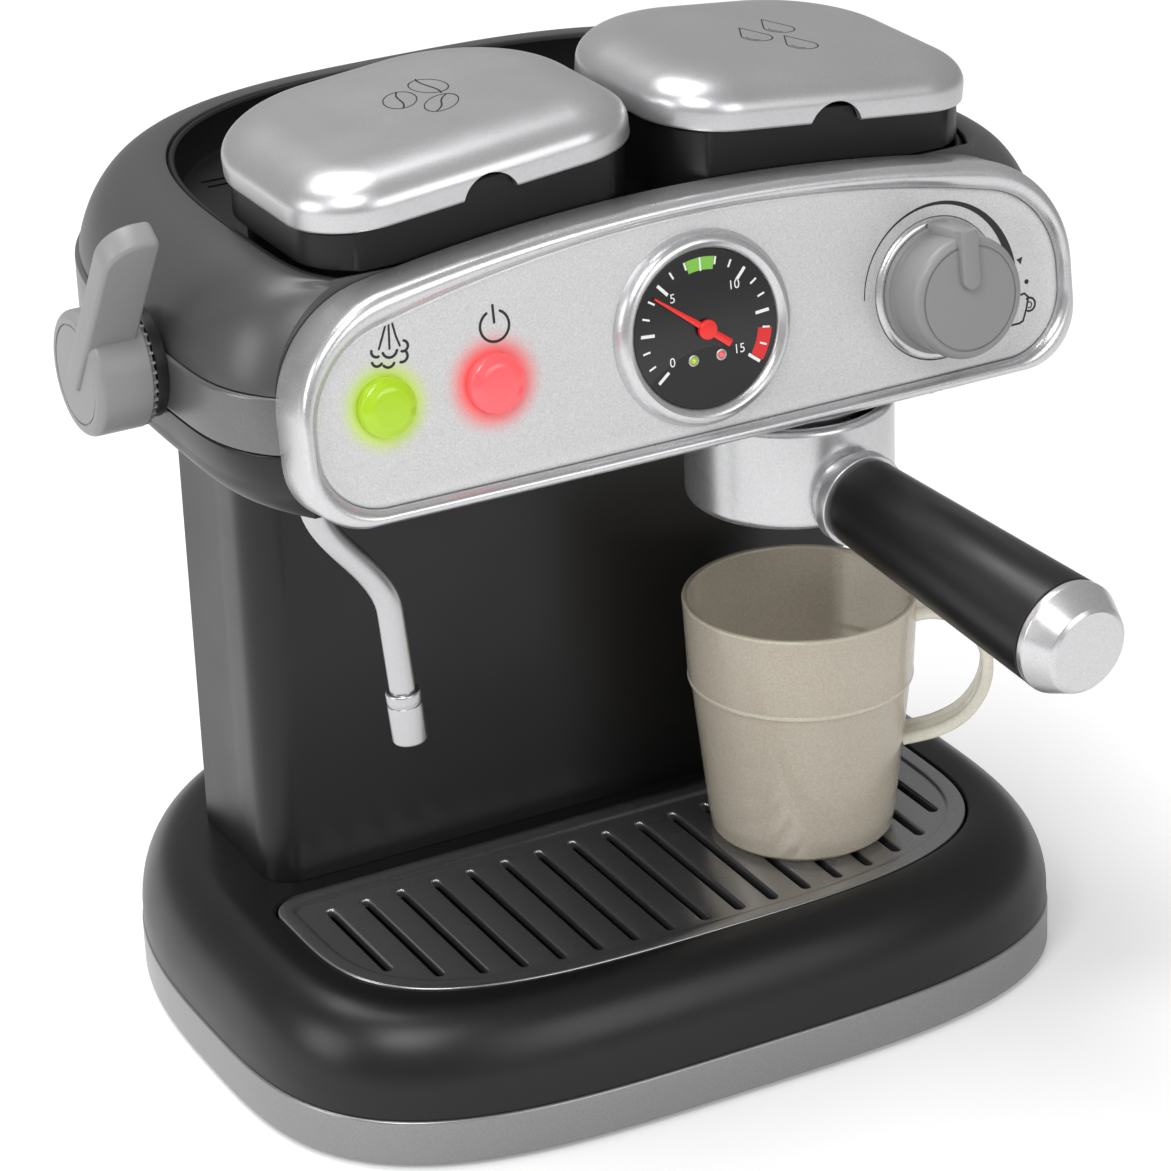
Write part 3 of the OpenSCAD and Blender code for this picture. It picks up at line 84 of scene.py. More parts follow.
GROUP_X, GROUP_Y = 38.8, -37.0
FILTER_R, FILTER_Z0, FILTER_Z1 = 25.3, 132.5, 158.0
HANDLE_TURN, HANDLE_TILT, HANDLE_Z = radians(5), radians(5), 142.5
GRIP_START, GRIP_END, HANDLE_LEN = 30.0, 104.2, 113.5
GRIP_R0, GRIP_R1 = 10.7, 13.5

WAND_X, WAND_Y, WAND_R = -88.0, -40.0, 3.15
WAND_BEND, WAND_LEAN, WAND_DROP = (16.2, -3.0, -26.0), radians(5.4), 39.3
NOZZLE_R, NOZZLE_LEN = 4.15, 13.5

LID_W, LID_D, LID_Z, LID_TILT = 85.0, 75.0, 228.3, radians(5.7)
LID_X, LID_Y = 44.5, -13.5
LID_WALL_H, LID_ROUND, LID_ROUND_H = 4.0, 14.0, 8.0

CUP_X, CUP_Y, CUP_Z = 45.2, -30.0, GRID_Z + 0.05
CUP_H, CUP_R = 64.1, 29.1


# ---- mesh helpers
def smooth_by_angle(mesh, angle):
    """Smooth shading that stays crisp where faces meet at more than angle."""
    mesh.shade_smooth()
    mesh.set_sharp_from_angle(angle=radians(angle))


def evaluated_mesh(obj):
    graph = bpy.context.evaluated_depsgraph_get()
    return bpy.data.meshes.new_from_object(obj.evaluated_get(graph))


def piece(name, verts, faces, look, body, *nodes, angle=32):
    """New mesh piece from millimetre points; it rides on body and replaces nodes."""
    mesh = bpy.data.meshes.new(name)
    mesh.from_pydata([tuple(MM * c for c in v) for v in verts], [], faces)
    bm = bmesh.new()
    bm.from_mesh(mesh)
    bmesh.ops.remove_doubles(bm, verts=bm.verts, dist=2e-6)
    bmesh.ops.dissolve_degenerate(bm, edges=bm.edges, dist=1e-6)
    bmesh.ops.recalc_face_normals(bm, faces=bm.faces)
    bm.to_mesh(mesh)
    bm.free()
    mesh.validate()
    smooth_by_angle(mesh, angle)
    obj = bpy.data.objects.new(name, mesh)
    bpy.context.scene.collection.objects.link(obj)
    mesh.materials.append(M[look])
    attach(obj, body)
    if nodes:
        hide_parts(*nodes)
    return obj


def turns(n):
    """Angles of n equal steps of a full turn."""
    return [2 * pi * i / n for i in range(n)]


def quarter(n):
    """Angles from zero to a right angle in n steps."""
    return [radians(90 * i / n) for i in range(n + 1)]


def curve_in(k, z, run, rise, angles):
    """Rounded edge as (inset, height) rows: upright at (k, z), flat after run and rise."""
    return [(k + run * (1 - cos(t)), z + rise * sin(t)) for t in angles]


def rod(r, z0, z1):
    """Profile of a solid round bar."""
    return [(0, z0), (r, z0), (r, z1), (0, z1)]


def crossings(points, loops):
    """How often a ray from each 2-D point crosses the loops; an odd count lies inside."""
    count = np.zeros(len(points), dtype=int)
    for loop in loops:
        a = np.array(loop, float)
        for (x0, y0), (x1, y1) in zip(a, np.roll(a, -1, axis=0)):
            if y0 != y1:
                over = (y0 > points[:, 1]) != (y1 > points[:, 1])
                x = x0 + (points[:, 1] - y0) * (x1 - x0) / (y1 - y0)
                count += over & (points[:, 0] < x)
    return count


class Shape:
    """Points and faces that several builders add to, before they become one piece."""

    def __init__(self):
        self.verts, self.faces = [], []

    def loft(self, rings, caps=(True, True), closed=False):
        """Skin over rings of equal point counts; closed joins the last to the first."""
        start, n, m = len(self.verts), len(rings[0]), len(rings)
        for ring in rings:
            self.verts.extend(tuple(map(float, p)) for p in ring)
        for i in range(m if closed else m - 1):
            a, b = start + i * n, start + (i + 1) % m * n
            self.faces.extend((a + j, b + j, b + (j + 1) % n, a + (j + 1) % n)
                              for j in range(n))
        if caps[0] and not closed:
            self.faces.append(tuple(range(start + n - 1, start - 1, -1)))
        if caps[1] and not closed:
            self.faces.append(tuple(range(start + (m - 1) * n, start + m * n)))
        return self

    def sheet(self, loops, place, inner=()):
        """Face with holes: 2-D loops and inner points, put in space by place(x, y)."""
        points, edges = [], []
        for loop in loops:
            first, n = len(points), len(loop)
            points.extend(loop)
            edges.extend((first + i, first + (i + 1) % n) for i in range(n))
        points.extend(inner)
        flat, _, faces, *_ = delaunay_2d_cdt([Vector(p) for p in points], edges, [], 0, 1e-7)
        flat = np.array([tuple(p) for p in flat])
        inside = crossings(flat[np.array(faces)].mean(axis=1), loops)
        start = len(self.verts)
        self.verts.extend(place(p[0], p[1]) for p in flat)
        self.faces.extend(tuple(start + i for i in f) for f, k in zip(faces, inside) if k % 2)
        return self

    def walls(self, loops, front, back):
        for loop in loops:
            self.loft([[front(*p) for p in loop], [back(*p) for p in loop]], OPEN)
        return self

    def slab(self, loops, front, back):
        """Plate between two placings of the same loops, with walls along every loop."""
        return self.sheet(loops, front).sheet(loops, back).walls(loops, front, back)

    def lathe(self, profile, place, steps):
        """Closed (r, z) profile turned about the Z axis of place(x, y, z)."""
        rings = [[place(r * cos(t), r * sin(t), z) for t in turns(steps)] for r, z in profile]
        return self.loft(rings, OPEN, profile[0][0] > 0 or profile[-1][0] > 0)

    def piece(self, name, look, body, *nodes, angle=32):
        return piece(name, self.verts, self.faces, look, body, *nodes, angle=angle)


def turned(name, look, body, profile, place, steps, *nodes, angle=32):
    """Piece from one turned profile."""
    Shape().lathe(profile, place, steps).piece(name, look, body, *nodes, angle=angle)


def rounded(corners, steps=5):
    """Profile with its (x, y, radius) corners rounded by arcs; (x, y) stays sharp."""
    out, n = [], len(corners)
    for i, (x, y, *r) in enumerate(corners):
        if not r:
            out.append((x, y))
            continue
        r = r[0]
        p = Vector((x, y))
        a = Vector(corners[i - 1][:2]) - p
        b = Vector(corners[(i + 1) % n][:2]) - p
        half = a.angle(b) / 2
        a, b, cut = a.normalized(), b.normalized(), r / tan(half)
        centre = p + (a + b).normalized() * (r / sin(half))
        s, e = p + a * cut - centre, p + b * cut - centre
        sweep = s.angle_signed(e)
        for k in range(steps + 1):
            g = -sweep * k / steps
            out.append((centre.x + s.x * cos(g) - s.y * sin(g),
                        centre.y + s.x * sin(g) + s.y * cos(g)))
    return out


def arc(cx, cy, r, t0, t1, steps):
    """Points of an arc, its angles in degrees."""
    angles = [radians(t0 + (t1 - t0) * i / steps) for i in range(steps + 1)]
    return [(cx + r * cos(t), cy + r * sin(t)) for t in angles]


def circle(cx, cy, r, steps):
    return [(cx + r * cos(t), cy + r * sin(t)) for t in turns(steps)]


def stroke(points, width, steps=6):
    """Outline of a pen stroke with round ends along 2-D points."""
    pts, r = [Vector(p) for p in points], width / 2
    side = []
    for i, p in enumerate(pts):
        a = (p - pts[i - 1]).normalized() if i else (pts[1] - p).normalized()
        b = (pts[i + 1] - p).normalized() if i < len(pts) - 1 else a
        t = (a + b).normalized()
        side.append(Vector((-t.y, t.x)) * r / max(0.5, t.dot(b)))

    def end(p, s):
        g0 = atan2(s.y, s.x)
        return [(p.x + r * cos(g0 - pi * k / steps), p.y + r * sin(g0 - pi * k / steps))
                for k in range(1, steps)]

    left = [tuple(p + s) for p, s in zip(pts, side)]
    right = [tuple(p - s) for p, s in zip(pts, side)]
    return left + end(pts[-1], side[-1]) + right[::-1] + end(pts[0], -side[0])


def smooth_route(points, steps):
    """Smooth curve through chosen points."""
    p = [np.array(q, float) for q in points]
    out = []
    for i in range(len(p) - 1):
        a, b, c, d = p[max(i - 1, 0)], p[i], p[i + 1], p[min(i + 2, len(p) - 1)]
        for s in range(steps):
            t = s / steps
            out.append(0.5 * (2 * b + (c - a) * t + (2 * a - 5 * b + 4 * c - d) * t * t
                              + (3 * b - a - 3 * c + d) * t ** 3))
    return out + [p[-1]]


def heading(route, i):
    """Direction from the point before to the point after, at their real distance."""
    return route[min(i + 1, len(route) - 1)] - route[max(i - 1, 0)]


def tube_rings(route, r, sides):
    """Rings square to a route."""
    rings = []
    for i, p in enumerate(route):
        t = heading(route, i)
        e1 = np.cross(t, (0.2, 1, 0))
        e1 = e1 / np.linalg.norm(e1)
        e2 = np.cross(t / np.linalg.norm(t), e1)
        rings.append([p + r * (cos(g) * e1 + sin(g) * e2) for g in turns(sides)])
    return rings


# ---- placings: where a point of a piece's own x, y and z lies in the part's frame
def upright(x0, y0, z0=0.0):
    return lambda x, y, z: (x0 + x, y0 + y, z0 + z)


def level(z):
    return lambda x, y: (x, y, z)


def at_z(outline, z):
    return [(x, y, z) for x, y in outline]


def panel_point(u, d, w):
    """Point of the panel's frame (across, depth, up the slope) in the part's frame."""
    return (u, PANEL_Y + w * sin(TILT) + d * cos(TILT),
            PANEL_Z + w * cos(TILT) - d * sin(TILT))


def bow(u):
    return u * u / (2 * BOW_R)


def at_face(d):
    """Placing at depth d behind the front of the bowed face."""
    return lambda u, w: panel_point(u, d + bow(u), w)


def face_print(u, w, lift):
    return panel_point(u, FACE_D + bow(u) - lift, w)


def out_of_panel(u0, w0):
    """Placing of a lathe whose axis points out of the panel."""
    return lambda x, y, z: panel_point(u0 + x, -z, w0 + y)


def along_x(x, y, z):
    """Placing of a lathe whose axis points out to the left from the steam shaft."""
    return (-z, STEAM_Y + x, STEAM_Z + y)


def at_handle(x, y, z):
    """Placing of a lathe along the handle, from the group's axis outwards."""
    c, s = cos(HANDLE_TURN), sin(HANDLE_TURN)
    out = z * cos(HANDLE_TILT) + y * sin(HANDLE_TILT)
    rise = y * cos(HANDLE_TILT) - z * sin(HANDLE_TILT)
    return GROUP_X + x * c + out * s, GROUP_Y + x * s - out * c, HANDLE_Z + rise


def at_lid(side):
    c, s = cos(LID_TILT), sin(LID_TILT)
    return lambda x, y, z: (side * (LID_X + x * c + z * s), LID_Y + y, LID_Z - x * s + z * c)


# ---- outlines at inset k
def polar(t, a, b, power):
    """Point of a rounded outline in direction t."""
    c, s = cos(t), sin(t)
    r = (abs(c / a) ** power + abs(s / b) ** power) ** (-1 / power)
    return r * c, r * s


def base_outline(k):
    out = []
    for t in turns(288):
        front = sin(t) < 0
        x, y = polar(t, HALF_W - k, (81 if front else 109) - k, 3.5 if front else 2.65)
        out.append((x, y - 3))
    return out


def grid_outline(k):
    a, r, y1 = GRID_HALF_W - k, 8 - k, GRID_BACK_Y - k
    front = [polar(pi + pi * i / 96, a, GRID_FRONT - k, GRID_POWER) for i in range(97)]
    return (arc(a - r, y1 - r, r, 0, 90, 10) + arc(-a + r, y1 - r, r, 90, 180, 10)
            + [(x, GRID_Y0 + y) for x, y in front])


def column_outline(k):
    """From the right front corner round the back to the left one."""
    a, b, r, power, yc = 84.5 - k, 94 - k, 9 - k, 3.2, 16.0
    t0 = asin(((yc + 3) / b) ** (power / 2))
    x0 = a * cos(t0) ** (2 / power)
    g0 = atan2(yc + 3, x0)
    back = [polar(g0 + (pi - 2 * g0) * i / 120, a, b, power) for i in range(1, 120)]
    return (arc(x0 - r, yc, r, -90, 0, 8) + [(x, y - 3) for x, y in back]
            + arc(-x0 + r, yc, r, 180, 270, 8))


def lid_outline(k):
    x, y, n = LID_W / 2 - k, LID_D / 2 - k, 30
    o, i, f = 30 - k, 35 - k, 18 - k
    return (arc(x - o, y - o, o, 0, 90, n) + arc(-x + i, y - i, i, 90, 180, n)
            + arc(-x + f, -y + f, f, 180, 270, n) + arc(x - f, -y + f, f, 270, 360, n))


def panel_outline(k):
    """Counter-clockwise seen from the front."""
    m = min(k / BEZEL_W, 1)
    corner, end, end_w, crown = (a + (b - a) * m for a, b in zip(OUTER_SHAPE, INNER_SHAPE))
    v, low, end_u = PANEL_HALF_W - corner, PANEL_LOW_W + corner, PANEL_HALF_W - end
    angle = asin(end_u / (crown - end))
    g, crown_w = degrees(angle), end_w - (crown - end) * cos(angle)
    right = arc(v, low, corner - k, -90, 0, 24) + arc(end_u, end_w, end - k, 0, 90 - g, 24)
    top = arc(0, crown_w, crown - k, 90 - g, 90 + g, 64)[1:-1]
    left = arc(-end_u, end_w, end - k, 90 + g, 180, 24) + arc(-v, low, corner - k, 180, 270, 24)
    return right + top + left + [(-v + 2 * v * i / 48, PANEL_LOW_W + k) for i in range(1, 48)]


def panel_ring(k, d):
    return [panel_point(u, d + bow(u), w) for u, w in panel_outline(k)]


def panel_surface(x, z, d):
    return PANEL_Y + (z - PANEL_Z) * tan(TILT) + (d + bow(x)) / cos(TILT)


def bezel_half(z):
    """Half of the bezel's width at height z, as wide as the head's front corners reach."""
    w, (corner, end, end_w, _) = (z - PANEL_Z) / cos(TILT), OUTER_SHAPE
    low = PANEL_LOW_W + corner
    if w < low:
        return PANEL_HALF_W - corner + sqrt(max(corner ** 2 - (w - low) ** 2, LOW_REACH ** 2))
    return PANEL_HALF_W - end + sqrt(max(end ** 2 - max(w - end_w, 0) ** 2, END_REACH ** 2))


def head_ring(k, z, d=SKIN_D, m=0.5):
    """Ring of the head, cut to the panel in front as the part's solids are."""
    a, power, y0, back, n, front = HALF_W - k, 4, -10, 120, 200, 48
    hw = min(bezel_half(z) - m, 0.985 * a)
    yc = panel_surface(hw, z, d)
    bf = (y0 - yc) / (1 - (hw / a) ** power) ** (1 / power)
    g0 = atan2(y0 - yc, hw)
    out = []
    for i in range(n):
        g = -g0 + (pi + 2 * g0) * i / (n - 1)
        x, y = polar(g, a, bf, power) if sin(g) < 0 else polar(g, a, back - k, 3)
        out.append((x, y0 + y, z))
    return out + [(x, panel_surface(x, z, d), z)
                  for x in (-hw + 2 * hw * i / front for i in range(1, front))]


# ---- materials
def new_material(name, color, rough, metal=0.0, spec=0.5, coat=0.0, coat_rough=0.1):
    mat = bpy.data.materials.new(name)
    mat.use_nodes = True
    bsdf = mat.node_tree.nodes["Principled BSDF"]
    for key, value in (("Base Color", (*color, 1)), ("Roughness", rough), ("Metallic", metal),
                       ("Specular IOR Level", spec), ("Coat Weight", coat),
                       ("Coat Roughness", coat_rough)):
        bsdf.inputs[key].default_value = value
    return mat, mat.node_tree, bsdf


def add(tree, kind, **values):
    """Node with its inputs or settings given by name."""
    node = tree.nodes.new(kind)
    for key, value in values.items():
        if key in node.inputs:
            node.inputs[key].default_value = value
        else:
            setattr(node, key, value)
    return node


def noise(tree, scale, detail=2.0, rough=0.5):
    coords = add(tree, "ShaderNodeTexCoord")
    node = add(tree, "ShaderNodeTexNoise", Scale=scale, Detail=detail, Roughness=rough)
    tree.links.new(coords.outputs["Object"], node.inputs["Vector"])
    return node.outputs["Fac"]


def remap(tree, source, low, high, start=0.3, end=0.7, **settings):
    """Value start..end turned into low..high, by a Map Range node."""
    node = add(tree, "ShaderNodeMapRange", **settings)
    for key, value in (("From Min", start), ("From Max", end), ("To Min", low), ("To Max", high)):
        node.inputs[key].default_value = value
    tree.links.new(source, node.inputs["Value"])
    return node.outputs["Result"]


def shade(tree, bsdf, color, source, spread):
    """Base colour made a little darker and lighter by source."""
    mix = add(tree, "ShaderNodeMix", data_type="RGBA")
    mix.inputs["A"].default_value = (*[c * (1 - spread) for c in color], 1)
    mix.inputs["B"].default_value = (*[min(1, c * (1 + spread)) for c in color], 1)
    tree.links.new(source, mix.inputs["Factor"])
    tree.links.new(mix.outputs["Result"], bsdf.inputs["Base Color"])


def bump(tree, bsdf, source, strength, depth):
    node = add(tree, "ShaderNodeBump", Strength=strength, Distance=depth)
    tree.links.new(source, node.inputs["Height"])
    tree.links.new(node.outputs["Normal"], bsdf.inputs["Normal"])


def moulded(name, color, rough, grain=0.05, spec=0.5, coat=0.0):
    """Moulded plastic: fine spark-eroded grain, faint cloudy change of gloss."""
    mat, tree, bsdf = new_material(name, color, rough, spec=spec, coat=coat)
    fine = noise(tree, 2600, 3)
    cloud = noise(tree, 45)
    shade(tree, bsdf, color, fine, 0.06)
    tree.links.new(remap(tree, cloud, rough - 0.03, rough + 0.03), bsdf.inputs["Roughness"])
    bump(tree, bsdf, fine, grain, 0.00005)
    return mat


def metallic(name, color, rough, metal=0.8, spread=0.12):
    """Metallic paint: tiny flakes that change colour and tilt, under a satin finish."""
    mat, tree, bsdf = new_material(name, color, rough, metal=metal)
    flakes = noise(tree, 2300, 4, 0.7)
    cloud = noise(tree, 60)
    shade(tree, bsdf, color, remap(tree, flakes, 0, 1), spread)
    tree.links.new(remap(tree, cloud, rough - 0.025, rough + 0.025), bsdf.inputs["Roughness"])
    bump(tree, bsdf, flakes, 0.2, 0.00005)
    return mat


def glow_paint(name, base, spots):
    """Silver face with the soft light that a lit button throws round itself."""
    mat = metallic(name, base, 0.42, 0.6, 0.16)
    tree = mat.node_tree
    coords = add(tree, "ShaderNodeTexCoord")
    color = tree.nodes["Mix"].outputs["Result"]
    for key, bow_u, glow, reach in spots:
        middle = panel_point(BUTTON_U[key], FACE_D + bow(bow_u), BUTTON_W)
        away = add(tree, "ShaderNodeVectorMath", operation="DISTANCE")
        away.inputs[1].default_value = [MM * c for c in middle]
        tree.links.new(coords.outputs["Object"], away.inputs[0])
        fade = remap(tree, away.outputs["Value"], 1, 0, BUTTON_R * MM * 0.8, reach * MM,
                     interpolation_type="SMOOTHERSTEP")
        mix = add(tree, "ShaderNodeMix", data_type="RGBA")
        mix.inputs["B"].default_value = (*glow, 1)
        tree.links.new(color, mix.inputs["A"])
        tree.links.new(fade, mix.inputs["Factor"])
        color = mix.outputs["Result"]
    tree.links.new(color, tree.nodes["Principled BSDF"].inputs["Base Color"])
    return mat


def lit_plastic(name, color, inner):
    """Translucent coloured plastic with a lamp behind it, brighter in the middle; on the dial's
    printed dots, which have no lamp, its emission is painted glow.
    """
    mat, tree, bsdf = new_material(name, color, 0.22, coat=0.4)
    bsdf.inputs["Subsurface Weight"].default_value = 0.5
    bsdf.inputs["Subsurface Radius"].default_value = (0.004, 0.003, 0.002)
    bsdf.inputs["Subsurface Scale"].default_value = 1.0
    bsdf.inputs["Emission Color"].default_value = (*inner, 1)
    bsdf.inputs["Emission Strength"].default_value = 0.35
    cloud = noise(tree, 500)
    shade(tree, bsdf, color, cloud, 0.05)
    bump(tree, bsdf, cloud, 0.05, 0.0001)
    return mat


def frosted(name, color, rough, alpha):
    """Milky see-through plastic."""
    mat, tree, bsdf = new_material(name, color, rough, coat=0.5, coat_rough=0.08)
    bsdf.inputs["Transmission Weight"].default_value = 0.4
    bsdf.inputs["IOR"].default_value = 1.35
    bsdf.inputs["Alpha"].default_value = alpha
    fine = noise(tree, 1800, 3)
    shade(tree, bsdf, color, remap(tree, fine, 0, 1), 0.1)
    bump(tree, bsdf, fine, 0.08, 0.00012)
    return mat


M = {
    "shell": moulded("shell_black", (0.008, 0.008, 0.0085), 0.33, 0.12, spec=0.4),
    "black": moulded("inner_black", (0.007, 0.007, 0.0073), 0.42, 0.2, spec=0.35),
    "tub": moulded("tub_black", (0.006, 0.006, 0.0063), 0.38, 0.15, spec=0.35),
    "head": moulded("head_grey", (0.060, 0.060, 0.061), 0.36, 0.15),
    "belt": metallic("belt_grey", (0.17, 0.17, 0.172), 0.34, 0.6),
    "silver": metallic("silver_paint", (0.64, 0.64, 0.65), 0.27),
    "fascia": glow_paint("fascia_glow", (0.66, 0.66, 0.665), (
        ("steam", 77.5, (0.62, 0.80, 0.10), 12.5), ("power", 52, (0.95, 0.16, 0.16), 13.5))),
    "lid": metallic("lid_silver", (0.60, 0.60, 0.61), 0.33, 0.8, 0.08),
    "skirt": metallic("skirt_silver", (0.31, 0.31, 0.315), 0.3, 0.75),
    "grid": metallic("grid_metal", (0.36, 0.36, 0.37), 0.26, 0.9, 0.08),
    "knob": moulded("knob_grey", (0.25, 0.25, 0.253), 0.38, 0.15),
    "rubber": moulded("pad_rubber", (0.03, 0.03, 0.03), 0.8, 0.4),
    "steel": metallic("plated_steel", (0.55, 0.55, 0.56), 0.3, 1.0, 0.05),
    "dial": moulded("dial_black", (0.010, 0.010, 0.011), 0.25, coat=0.3),
    "print": moulded("print_black", (0.012, 0.012, 0.012), 0.5),
    "white": moulded("print_white", (0.85, 0.85, 0.85), 0.5),
    "green": moulded("print_green", (0.20, 0.52, 0.06), 0.5),
    "red": moulded("print_red", (0.72, 0.02, 0.02), 0.4),
    "needle": moulded("needle_red", (0.86, 0.02, 0.015), 0.3, coat=0.3),
    "hose": moulded("hose_clear", (0.6, 0.65, 0.68), 0.3),
    "wire": moulded("wire_red", (0.45, 0.03, 0.03), 0.4),
    "board": moulded("board_green", (0.02, 0.16, 0.07), 0.4, 0.1),
    "cell": moulded("cell_wrap", (0.05, 0.26, 0.10), 0.35, 0.1),
    "pale": moulded("inner_pale", (0.6, 0.6, 0.56), 0.45, 0.1),
    "green_lit": lit_plastic("button_green", (0.33, 0.52, 0.012), (0.34, 0.52, 0.01)),
    "red_lit": lit_plastic("button_red", (0.85, 0.10, 0.11), (0.90, 0.10, 0.12)),
    "cup": frosted("cup_frosted", (0.76, 0.69, 0.58), 0.17, 0.84),
    # Lighter copy of the cup's plastic for its lip, step band and ear: painted highlight for the
    # light that the thin edges catch.
    "cup_edge": frosted("cup_edge", (0.97, 0.90, 0.76), 0.15, 0.72),
}


# ---- base and column
def make_base():
    skirt = rounded([(0, SKIRT_Z0, 0.5), (0, SKIRT_TOP, 0.7), (WALL, SKIRT_TOP, 0.4),
                     (WALL, SKIRT_Z0, 0.4)])
    Shape().loft([at_z(base_outline(k), z) for k, z in skirt], closed=True).piece(
        "skirt_band", "skirt", "housing", "base_skirt")

    gap, edge, well_z, hidden_z = 0.5, 0.9, 34.0, 17.5
    foot, low_z = WALL + 2.6, 3.0
    bend, ceiling = 12.2, DECK_Z - WALL
    dome = [(WALL + 0.1, SKIRT_TOP - 2), (DOME_LIP + 0.5, SKIRT_TOP + 0.05),
            (DOME_LIP, SKIRT_TOP + 0.5)]
    dome += curve_in(DOME_LIP, DOME_Z0, DOME_RUN, DECK_Z - DOME_Z0, quarter(18))
    rim = [(gap + edge * (1 - sin(t)), DECK_Z - edge * (1 - cos(t)))
           for t in map(radians, (0, 22, 45, 67, 90))]
    under = [(WALL + 0.1, SKIRT_TOP - 2), (WALL + 0.1, low_z), (foot, low_z)]
    under += curve_in(foot, DOME_Z0, bend, ceiling - DOME_Z0, quarter(6))
    shell = Shape().loft([at_z(base_outline(k), z) for k, z in dome], OPEN)
    shell.sheet([base_outline(DOME_LIP + DOME_RUN), grid_outline(-gap - edge)], level(DECK_Z))
    shell.loft([at_z(grid_outline(-k), z) for k, z in rim + [(gap, well_z)]], OPEN)
    shell.loft([at_z(base_outline(k), z) for k, z in under], OPEN)
    shell.sheet([base_outline(foot + bend), grid_outline(-gap - 2)], level(ceiling))
    shell.loft([at_z(grid_outline(-k), z) for k, z in (
        (gap + 2, ceiling), (gap + 2, hidden_z), (gap, hidden_z), (gap, well_z))], OPEN)
    shell.piece("base_dome", "shell", "housing", "base_shell")


def make_grid():
    """Metal grid with a raised rim and seventeen round-ended slots, edges rolled in."""
    count, pitch, half, inset = 17, 9.6, 1.05, 7.0
    roll, back_y, step, foot_z = 0.75, -8.0, 4.5, GRID_Z - GRID_T

    def slot(x, k):
        a, b = GRID_HALF_W - inset, GRID_FRONT - inset
        y0 = GRID_Y0 - b * (1 - (abs(x) / a) ** GRID_POWER) ** (1 / GRID_POWER)
        return (arc(x, back_y - half, half + k, 0, 180, 12)
                + arc(x, y0 + half, half + k, 180, 360, 12))

    places = [(i - count // 2) * pitch for i in range(count)]
    edge = curve_in(0, DECK_Z - 0.5, 0.5, 0.5, map(radians, (30, 60, 90)))
    profile = [(0, foot_z), (0, DECK_Z - 0.5), *edge, (step - 1.4, DECK_Z),
               (step - 0.9, DECK_Z - 0.06), (step - 0.4, DECK_Z - 0.3), (step, GRID_Z + 0.12),
               (step + 0.4, GRID_Z + 0.02), (step + 0.8, GRID_Z)]
    curl = [(roll * (1 - sin(t)), GRID_Z - roll * (1 - cos(t)))
            for t in map(radians, (0, 20, 40, 60, 90))] + [(0, foot_z)]
    shape = Shape().loft([at_z(grid_outline(k), z) for k, z in profile], OPEN)
    shape.sheet([grid_outline(step + 0.8)] + [slot(x, roll) for x in places], level(GRID_Z))
    for x in places:
        shape.loft([at_z(slot(x, k), z) for k, z in curl], OPEN)
    shape.sheet([grid_outline(0)] + [slot(x, 0) for x in places], level(foot_z))
    shape.piece("slotted_grid", "grid", "grid", "drip_grid", angle=40)


def make_column():
    """Two covers that meet at a seam; each one's loop runs out along its outer wall.
    Known flaw: the front's run starts ten points past its end at the seam, so its left wall
    goes straight to the seam and stands proud of the rear cover there."""
    gap, edge, front_start = 0.12, 0.5, 35
    for name, node, front in (("column_cover", "column_front", True),
                              ("column_rear", "column_back", False)):

        def half(k):
            """Points on this side of the seam."""
            points = [p for p in column_outline(k) if (p[1] < SEAM_Y) == front]
            start = front_start if front else 0
            return points[start:] + points[:start]

        outer, inner = half(0), half(WALL)
        y_cut, side = (SEAM_Y - gap, 1) if front else (SEAM_Y + gap, -1)
        xo, xi = side * abs(outer[0][0]), side * abs(inner[0][0])
        loop = ([(-xo, y_cut)] + outer + [(xo, y_cut), (xi, y_cut)]
                + inner[::-1] + [(-xi, y_cut)])
        obj = Shape().slab([loop], level(HEAD_Z), level(DECK_Z + 0.02)).piece(
            name, "shell", "housing", node, angle=30)
        bevel = obj.modifiers.new("edge", "BEVEL")
        bevel.width = edge * MM
        bevel.segments = 3
        bevel.limit_method = "ANGLE"
        bevel.angle_limit = radians(50)


